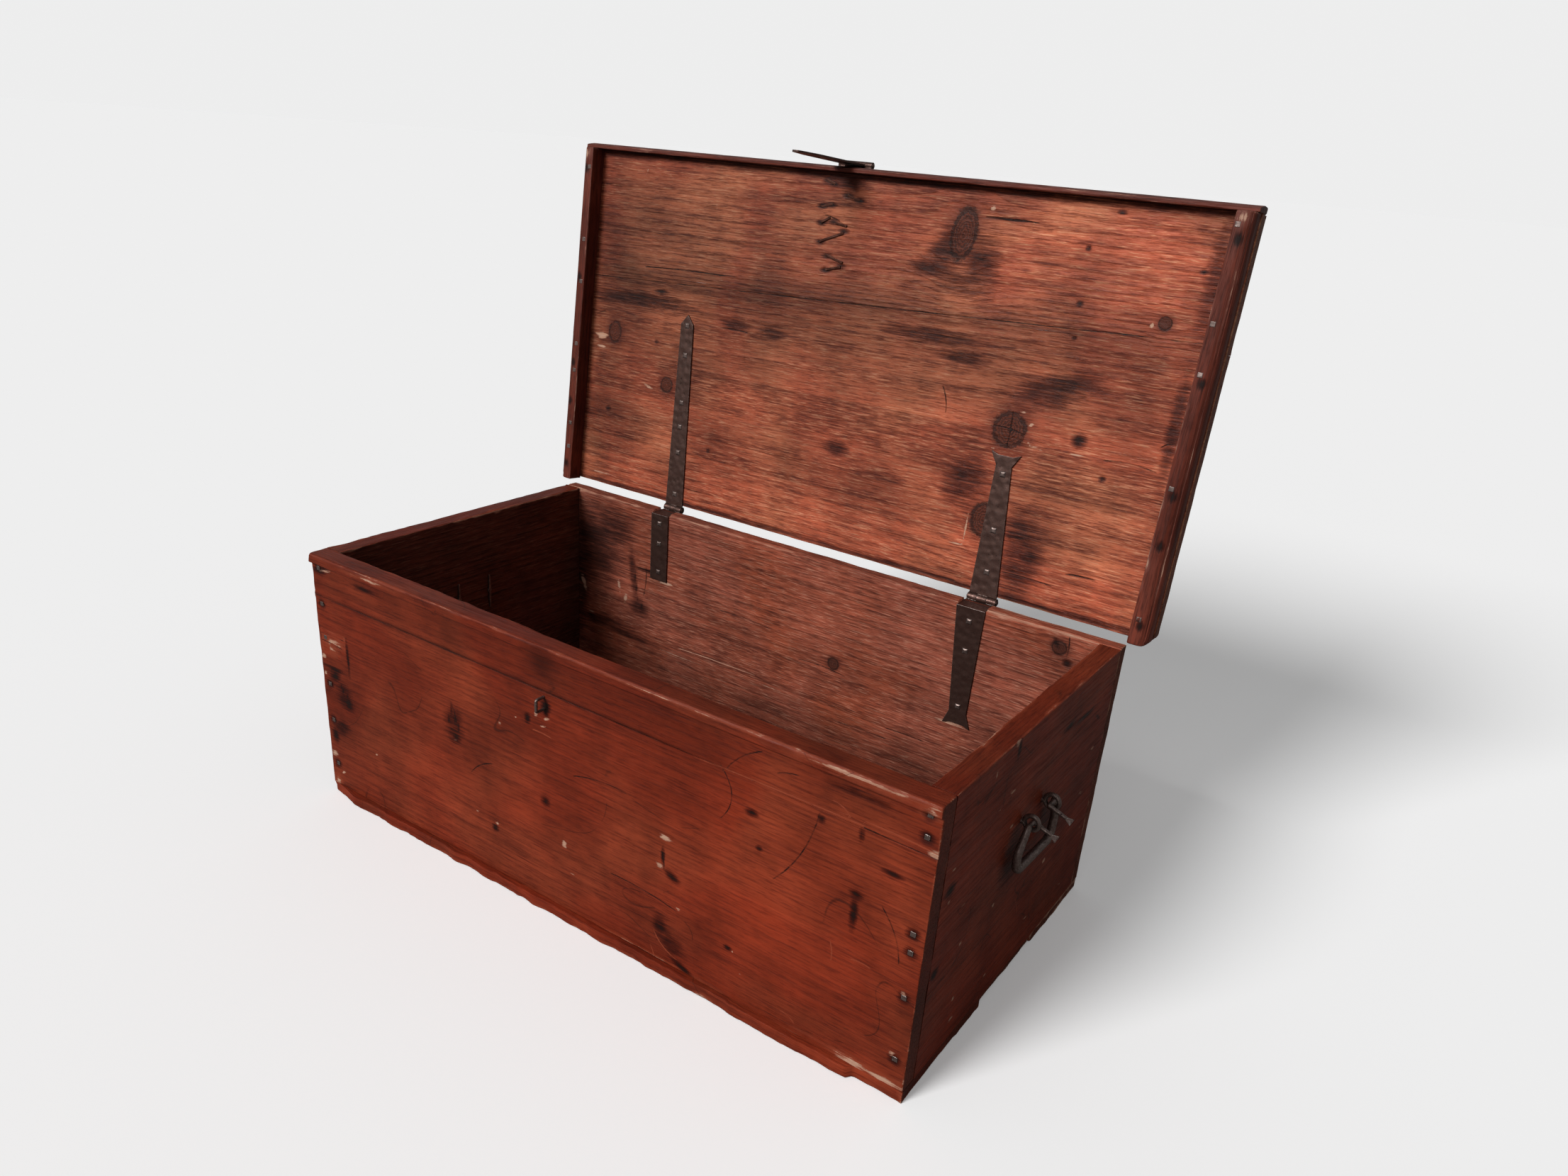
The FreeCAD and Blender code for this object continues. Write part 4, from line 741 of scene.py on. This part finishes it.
# The right end: y from the front face, then the height above the floor
END_MARKS = {
    "pale": ((167, 370, 10, 10), (176, 304, 12, 3, -10), (145, 295, 3, 2), (190, 253, 9, 3), (95, 152, 4, 4),
     (176, 155, 4, 4), (88, 208, 12, 2), (248, 264, 7, 3), (440, 245, 8, 3), (430, 184, 12, 3, -10),
     (330, 133, 7, 5), (460, 117, 7, 2, -20), (300, 64, 14, 2, -15), (100, 74, 5, 4), (96, 59, 9, 2),
     (104, 43, 9, 4), (190, 48, 6, 2), (416, 50, 12, 2, -25), (118, 350, 3, 9), (45, 275, 6, 2),
     (45, 235, 6, 3), (20, 150, 6, 9)),
    # The dark marks at 214, 205 and 320, 200 run from the handle down to the right: painted shadow of the
    # handle
    "dark": ((330, 322, 22, 6), (382, 314, 34, 4), (44, 250, 12, 9), (35, 150, 10, 8), (172, 360, 5, 16),
     (214, 205, 30, 40), (320, 200, 60, 22, -35), (435, 292, 12, 3, -30)),
    # The dark cut from 230, 200 to 380, 140 is part of the handle's painted shadow
    "cuts": ((230, 200, 380, 140, -4, 0), (345, 112, 352, 98, 1, 1), (92, 110, 120, 104, 2, 1),
     (250, 120, 262, 96, 2, 1)),
    "tones": ((400, 110, 120, 120, -0.2), (240, 210, 120, 60, -0.18), (60, 200, 60, 200, 0.15)),
}
CLEAT_NAIL_SHARES = (0.06, 0.37, 0.63, 0.75, 0.95)


def placed(marks, left, base, way=1):
    """Marks moved from their own corner to the model: x + left, and base + way times the second place."""
    moved = {}
    for kind, rows in marks.items():
        if kind == "cuts":
            moved[kind] = tuple((a + left, base + way * b, c + left, base + way * d, way * bow, pale)
                                for a, b, c, d, bow, pale in rows)
        else:
            moved[kind] = tuple((x + left, base + way * y, *rest) for x, y, *rest in rows)
    return moved


FACE_REACH = 2.0
NAIL_CELL = 12
NAIL_APART = 9


def nail_places(node, axes, axis, level, angle=0):
    """Where the heads of a node's nails lie: the middle of each cluster of points near a face."""
    points = turned(cad_points(node), angle)
    near = points[np.abs(points[:, axis] - level) < FACE_REACH][:, axes]
    places = []
    for cell in np.unique(np.round(near / NAIL_CELL).astype(int), axis=0):
        middle = near[np.linalg.norm(near - cell * NAIL_CELL, axis=1) < NAIL_CELL].mean(axis=0)
        if all(np.linalg.norm(middle - other) > NAIL_APART for other in places):
            places.append(middle)
    return places


STAINED = "stained_pine_planed"
SAWN = "pine_sawn_aged"
WEATHERED = "pine_planed_weathered"
BATTEN = "batten_pine_stained"
OUTSIDE = (STAINED, SAWN)
# Each wood: its colours, then ring_show, fibre_show, glint, streak_show, cloud_show, relief, rough and hair
WOODS = {
    # Pine planed by hand, stained red-brown and rubbed by use: satin, its grain only just seen
    STAINED: ("outside", 0.34, 0.5, 0.14, 0.14, 0.6, 0.3, 0.42, 0.5),
    # Pine left from the saw and darkened by age: dry, with dark pores and painted highlights on its raised
    # fibres
    SAWN: ("inside", 0.7, 0.5, 0.4, 0.2, 0.5, 0.8, 0.6, 0.1),
    # Pine planed once, then dried until its fibres stood up: warm, streaked, with painted glints on the
    # crests
    WEATHERED: ("lid", 0.72, 0.52, 0.48, 0.2, 0.6, 0.7, 0.42, 0.1),
    # Battens and lip stained dark and handled: smooth, greyed where hands and the box rub them
    BATTEN: ("trim", 0.5, 0.5, 0.12, 0.15, 0.5, 0.4, 0.42, 0.4),
}


def dress(piece, node, body, woods):
    """Gives a piece its two woods, puts it in place of its CAD node and lets it move with its body."""
    for name in woods:
        if name not in bpy.data.materials:
            wood(name, bpy.context.scene.trunk_colours, *WOODS[name])
        piece.data.materials.append(bpy.data.materials[name])
    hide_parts(node)
    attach(piece, body)


def front_marks():
    """The front's marks, with dirt and a dent round each corner nail and the hollows of two chips."""
    low, high = span("front_lower_board")
    marks = placed(FRONT, low[0], 0)
    nails = nail_places("front_corner_nails", [0, 2], 1, low[1])
    dirt, dent = 8, 4
    marks["dark"] += tuple((x, z, dirt, dirt) for x, z in nails)
    marks["dents"] = tuple((x, z, dent, dent, 1.0) for x, z in nails)
    marks["dents"] += ((low[0] + 613, 142, 9, 7, 1.5), (low[0] + 462, 112, 5, 8, 0.8))
    return marks


def patch_block():
    """The small block let into the front, with two cracks across it."""
    low, high = span("front_patch")
    rub = ((low[0] + high[0]) / 2, high[2] - 16, 30, 15, 4)
    cracks = ((low[0] + 2, high[2] - 9, high[0] - 4, high[2] - 8, 1, 0),
              (low[0] + 1, high[2] - 20, high[0] - 9, high[2] - 22, 1, 0))
    board("front_patch_block", "front_patch", OUTSIDE, face=(1, -1), pith=(200, -30), seed=17, wear=1.4,
          marks={"worn": (rub,), "cuts": cracks})


def front_rail(marks):
    """The narrow top board: its nosing stands proud of the front, and its inner edge is splintered."""
    low, high = span("front_upper_board")
    box_low, box_high = span("front_lower_board")
    proud = box_low[1] - low[1]
    nosing_foot, nosing_top = high[2] - 16, high[2] - 12
    loss_start, loss_end, left = -100, 345, box_low[0]

    def nosing(points, sharp):
        back = proud * (1 - smooth(nosing_foot, nosing_top, sharp[:, 2]))
        points[:, 1] += back * smooth(low[1] + 12, low[1] + 4, sharp[:, 1])
        return points

    def splinter(sharp, bend):
        near_top = smooth(high[2] - 12, high[2] - 3, sharp[:, 2])
        lost = smooth(loss_start, loss_start + 40, sharp[:, 0]) * smooth(loss_end, loss_end - 45, sharp[:, 0])
        inner = smooth(high[1] - 9, high[1] - 1, sharp[:, 1]) * near_top
        bend = bend + lost * inner * waves(sharp, 4.5, ((40, 2, 0), (11, 1, 1)), 5)
        crest = smooth(low[1] + 10, low[1], sharp[:, 1]) * near_top
        return bend + crest * 2.2

    rubs = ((860, 4, 110, 7), (940, 8, 20, 18), (120, 6, 60, 4), (620, 3, 150, 3))
    rubs = tuple((left + x, high[2] - down, *half) for x, down, *half in rubs)
    board("front_upper_rail", "front_upper_board", OUTSIDE, face=(1, -1), pith=(420, -40), shape=nosing,
          radius=splinter, extra=((), (), np.linspace(nosing_foot - 1, nosing_top + 1, 5)), wear=1.2,
          joined=((2, -1),), marks={**marks, "worn": marks["worn"] + rubs}, seed=23, top_painted_shade=-0.25)


def back_planks():
    """The back, notched on top for both hinge leaves; the right leaf's fishtail is wider than its notch."""
    low, high = span("back_board")
    left = span("front_lower_board")[0][0]
    fishtail_extra, fishtail_width, notch_depth, inner_round, play = 3.0, 44, 6.0, 7.0, 0.6
    sides = []
    notches = []
    for leaf in ("left_box_leaf", "right_box_leaf"):
        start, stop = (corner[0] for corner in span(leaf))
        if stop - start > fishtail_width:
            stop -= fishtail_extra
        notches.append((start - play, stop + play))
        sides += [start - 0.7, start - 0.5, stop + 0.5, stop + 0.7]

    def notched(points, sharp):
        for start, stop in notches:
            inside = (sharp[:, 0] > start) & (sharp[:, 0] < stop) & (sharp[:, 2] > high[2] - 3)
            points[:, 2] -= np.where(inside, notch_depth, 0)
        return points

    board("back_planks", "back_board", (SAWN, STAINED), face=(1, -1), pith=(172, -50), shape=notched, seed=31,
          extra=(sides, (), ()), rounds=((1, -1, 2, 1, inner_round),), marks=placed(BACK_MARKS, left, 0),
          edge=2.0, wear=1.6, joined=((2, -1),))


def end_planks():
    """Both end boards, their inner faces darkened; the left one's stronger darkening is painted shade."""
    front_face = span("front_lower_board")[0][1]
    # How much each inner face is darkened; the left one's extra darkening is painted shade
    for word, side, seed, inside in (("right", 1, 41, -0.35), ("left", -1, 47, -0.6)):
        board(word + "_end_planks", word + "_end_board", OUTSIDE, along=1, face=(0, side), pith=(120, -60),
              edge=2.2, wear=1.5, top_painted_shade=-0.35, back_tone_and_shade=inside, joined=((1, -1), (1, 1), (2, -1)),
              marks=placed(END_MARKS, front_face, 0), seed=seed)


def floor_planks():
    """Three floor planks; the front one stands proud, with a ragged edge, a worn corner and a broken end."""
    look = {"face": (2, 1), "wear": 2.2, "edge": 2.6, "grid": 4.0}
    low, high = span("front_plank")
    proud = span("front_lower_board")[0][1] - low[1]
    worn_length, broken_length = 60, 66

    def broken(points, sharp):
        x = sharp[:, 0]
        ragged = waves(sharp * [1, 0, 0], 0, ((26, 1.4, 0), (7, 0.7, 1)), 7)
        lost = np.maximum(smooth(low[0] + worn_length, low[0], x),
                          smooth(high[0] - broken_length, high[0] - 60, x))
        back = np.clip(proud * lost + 1.2 + ragged * (1 - lost), 0, proud + 1)
        points[:, 1] += back * smooth(low[1] + 20, low[1] + 6, sharp[:, 1])
        return points

    board("front_plank_worn", "front_plank", (STAINED, STAINED), shape=broken, joined=((2, 1),), seed=53,
          **look)
    for node, seed in (("middle_plank", 59), ("rear_plank", 61)):
        board(node + "_worn", node, (SAWN, STAINED), seed=seed, **look)


class TRUNK_OT_boards(bpy.types.Operator):
    """Make the box's boards."""
    bl_idname = "trunk.boards"
    bl_label = "Box boards"

    def execute(self, context):
        marks = front_marks()
        board("front_lower_planks", "front_lower_board", OUTSIDE, face=(1, -1), pith=(130, -70),
              joined=((2, 1),), marks=marks, seed=11, wear=0.8)
        patch_block()
        front_rail(marks)
        back_planks()
        end_planks()
        floor_planks()
        return {"FINISHED"}


def lid_planks():
    """The lid's two boards, joined along a line that slants between the seams seen in the CAD."""
    rear_low, rear_high = span("lid_rear_board", shut=True)
    front_low, front_high = span("lid_front_board", shut=True)
    end, rear = rear_high[:2]
    points = turned(cad_points("lid_rear_board"), LID_OPEN)
    seams = [points[points[:, 0] * side > end - 20][:, 1].min() for side in (-1, 1)]
    left = span("front_lower_board")[0][0]
    plain_rear = span("back_board")[1][1] - 1.0
    marks = placed(LID_MARKS, left, plain_rear, -1)
    level = 0.5 * (seams[0] + seams[1])
    corner, gap = 9.0, 0.1

    def slanted(fixed, way):
        """Draws a board's joint from straight across to the slanting line between the seams."""
        def shape(points, sharp):
            share = (sharp[:, 0] + end) / (2 * end)
            target = seams[0] + (seams[1] - seams[0]) * share - way * gap
            part = (points[:, 1] - fixed) / (level - fixed)
            points[:, 1] = fixed + part * (target - fixed)
            return points
        return shape

    look = {"face": (2, -1), "lid": True, "wear": 0.8, "woods": (WEATHERED, STAINED)}
    board("lid_rear_planks", "lid_rear_board", low=(-end, level, rear_low[2]), high=(end, rear, rear_high[2]),
          marks=marks, seed=71, pith=(plain_rear - 178, -50), ring=5.0, shape=slanted(rear, 1),
          joined=((1, -1),), rounds=((0, -1, 1, 1, corner), (0, 1, 1, 1, corner)), **look)
    clinched = nail_places("hasp_strap_nails", [0, 1], 2, front_low[2], LID_OPEN)
    # A dark band along the front edge, beside the lip, is painted shadow cast by the lip, and grime; dirt
    # lies round each clinched nail
    marks["dark"] += ((0, front_low[1] + 1, 800, 7), *((x, y, 9, 4) for x, y in clinched))
    board("lid_front_planks", "lid_front_board", low=(-end, *front_low[1:]), high=(end, level, front_high[2]),
          marks=marks, seed=79, pith=(-330, -60), shape=slanted(front_low[1], -1),
          joined=((1, 1), (1, -1)), **look)


def battens():
    """The tapered battens under the lid's ends, rounded along their outer lower edge."""
    lean, outer_round, corner_round = 3.0, 15.0, 9.0
    for word, side, seed in (("left", -1, 83), ("right", 1, 89)):
        low, high = span(word + "_cleat", shut=True)
        inner = low[0] if side > 0 else high[0]
        size = high - low

        def tapered(points, sharp):
            front = (high[1] - points[:, 1]) / size[1]
            inward = 1 - np.abs(points[:, 0] - inner) / size[0]
            points[:, 0] += side * lean * front * inward
            return points

        middle = inner + side * 12
        rubs = ((middle, low[1] + 8, 16, 12), (inner + side * 20, low[1] + 90, 3, 70))
        heads = tuple((middle, low[1] + share * size[1], 6, 7) for share in CLEAT_NAIL_SHARES)
        board(word + "_batten", word + "_cleat", (BATTEN, BATTEN), along=1, face=(2, -1), pith=(900, -50),
              shape=tapered, seed=seed, lid=True, joined=((2, 1),), wear=1.2,
              marks={"worn": rubs, "dark": heads, "tones": ((inner + side * 20, 0, 9, 400, -0.2),)},
              extra=(np.linspace(low[0], high[0], 17), (), np.linspace(low[2], high[2], 13)),
              rounds=((0, side, 2, -1, outer_round), (0, side, 1, 1, corner_round)))


def lip_strip():
    """The strip along the lid's front, thinner towards its foot and rubbed there."""
    low, high = span("front_lip", shut=True)
    end = span("lid_rear_board", shut=True)[1][0]
    foot, run = 5.0, 22.0

    def bevelled(points, sharp):
        part = np.clip((points[:, 2] - low[2]) / run, 0, 1)
        thick = foot + (high[1] - low[1] - foot) * np.sin(part * math.pi / 2)
        points[:, 1] = high[1] + (points[:, 1] - high[1]) * thick / (high[1] - low[1])
        return points

    rubs = tuple((x, low[2] + 3, 70, 4) for x in (-400, -180, 60, 250, 440))
    rubs += ((end - 6, low[2] + 8, 16, 12),)
    board("front_lip_strip", "front_lip", (BATTEN, BATTEN), face=(1, 1), pith=(500, -30), shape=bevelled,
          seed=97, lid=True, marks={"worn": rubs, "tones": ((0, low[2] + 12, 900, 60, -0.45),)}, edge=1.8,
          extra=((), (), np.linspace(low[2] + 1, low[2] + run + 2, 10)))


class TRUNK_OT_lid(bpy.types.Operator):
    """Make the lid's boards, battens and lip."""
    bl_idname = "trunk.lid"
    bl_label = "Lid"

    def execute(self, context):
        lid_planks()
        battens()
        lip_strip()
        return {"FINISHED"}


class TRUNK_OT_iron(bpy.types.Operator):
    """Finish the ironwork."""
    bl_idname = "trunk.iron"
    bl_label = "Ironwork"

    def execute(self, context):
        colours = context.scene.trunk_colours
        # Straps, leaves and hasp keep their dull forged skin; handles and nail heads are rubbed brighter,
        # with more painted glints
        dull = iron("wrought_iron_hammered", colours, 0.12)
        bright = iron("wrought_iron_rubbed", colours, 0.42)
        # Clinched points sunk in the lid are black with old rust and dirt
        black = iron("wrought_iron_black", colours, 0.0, 0.05)
        for name, node in frame["nodes"].items():
            if node.hide_render:
                continue
            rubbed = name == "hasp_staple" or "nails" in name or "handle" in name
            node.data.materials.clear()
            node.data.materials.append(black if name == "hasp_strap_nails" else bright if rubbed else dull)
        return {"FINISHED"}


def lay_floor(colours):
    """A wide floor in plain matt paint: white to the camera, a soft grey where it lights the trunk."""
    glow_strength, reach = 0.16, 60000.0
    made, tree = material("floor_paint_matt")
    seen = add(tree, "LightPath")
    tone = add(tree, "Mix", {0: seen, 6: colours.floor_bounce, 7: colours.floor}, data_type="RGBA", out=2)
    glow = add(tree, "Math", {0: seen, 1: glow_strength}, operation="MULTIPLY")
    finish_material(tree, {"Base Color": tone, "Roughness": 0.95, "Specular IOR Level": 0.0,
                           "Emission Color": WHITE, "Emission Strength": glow})
    corners = reach * np.array([[-1, -1, 0], [1, -1, 0], [1, 1, 0], [-1, 1, 0]])
    floor = make_mesh("floor", corners, np.array([[0, 1, 2, 3]]))
    floor.data.materials.append(made)


def light_studio(scene):
    """Even white walls, brighter in reflections and behind the floor, and two soft lamps in front."""
    soft, shine, backdrop = 0.2, 0.28, 0.85
    world = bpy.data.worlds.new("studio")
    scene.world = world
    world.use_nodes = True
    tree = world.node_tree
    tree.nodes.clear()
    path = add(tree, "LightPath", out=None)
    strength = add(tree, "MapRange", {0: path["Is Glossy Ray"], 3: soft, 4: shine})
    strength = add(tree, "Mix", {0: path["Is Camera Ray"], 2: strength, 3: backdrop}, data_type="FLOAT")
    back = add(tree, "Background", {"Color": WHITE, "Strength": strength})
    add(tree, "OutputWorld", {"Surface": back}, out=None)
    for name, toward, spread, power in (("key_softbox", (-0.27, -0.80, 0.54), 22, 2.85),
                                        ("fill_softbox", (0.15, -0.90, 0.40), 50, 0.25)):
        lamp = bpy.data.lights.new(name, "SUN")
        lamp.angle = math.radians(spread)
        lamp.energy = power
        thing = bpy.data.objects.new(name, lamp)
        scene.collection.objects.link(thing)
        thing.rotation_euler = Vector(toward).to_track_quat("Z", "Y").to_euler()


def place_camera(scene):
    """The camera that the photograph was solved for: its turn, rise and roll in radians, and its place."""
    turn, rise, roll = 0.564266, 0.424460, 0.082595
    place = (0.8223, -1.0818, 0.9149)
    lens = bpy.data.cameras.new("camera")
    lens.lens = 25.8726
    lens.sensor_width = 36.0
    lens.shift_x = -0.00573
    lens.shift_y = 0.0404
    camera = bpy.data.objects.new("camera", lens)
    scene.collection.objects.link(camera)
    aim = Matrix.Rotation(turn, 4, "Z") @ Matrix.Rotation(math.pi / 2 - rise, 4, "X")
    camera.matrix_world = Matrix.Translation(place) @ aim @ Matrix.Rotation(roll, 4, "Z")
    scene.camera = camera


class TRUNK_OT_stage(bpy.types.Operator):
    """Set the floor, the light and the camera."""
    bl_idname = "trunk.stage"
    bl_label = "Stage"

    def execute(self, context):
        scene = context.scene
        scene.view_settings.view_transform = "Standard"
        lay_floor(scene.trunk_colours)
        light_studio(scene)
        place_camera(scene)
        return {"FINISHED"}


class TRUNK_PT_panel(bpy.types.Panel):
    """Sizes, colours and pieces of the trunk."""
    bl_idname = "TRUNK_PT_panel"
    bl_label = "Travel trunk"
    bl_space_type = "VIEW_3D"
    bl_region_type = "UI"
    bl_category = "Trunk"

    def draw(self, context):
        for group in (context.scene.trunk_sizes, context.scene.trunk_colours):
            for name in group.__annotations__:
                self.layout.prop(group, name)
        for operator in OPERATORS:
            self.layout.operator(operator.bl_idname)


OPERATORS = (TRUNK_OT_boards, TRUNK_OT_lid, TRUNK_OT_iron, TRUNK_OT_stage)
CLASSES = (TrunkSizes, TrunkColours, *OPERATORS, TRUNK_PT_panel)


def register():
    """Adds the classes and the scene's two groups of settings."""
    for cls in CLASSES:
        bpy.utils.register_class(cls)
    bpy.types.Scene.trunk_sizes = bpy.props.PointerProperty(type=TrunkSizes)
    bpy.types.Scene.trunk_colours = bpy.props.PointerProperty(type=TrunkColours)


def unregister():
    """Takes them away again."""
    del bpy.types.Scene.trunk_colours
    del bpy.types.Scene.trunk_sizes
    for cls in reversed(CLASSES):
        bpy.utils.unregister_class(cls)


def main():
    """Builds every piece in order."""
    register()
    bpy.ops.trunk.boards()
    bpy.ops.trunk.lid()
    bpy.ops.trunk.iron()
    bpy.ops.trunk.stage()
    bpy.context.view_layer.update()


if __name__ == "__main__":
    main()
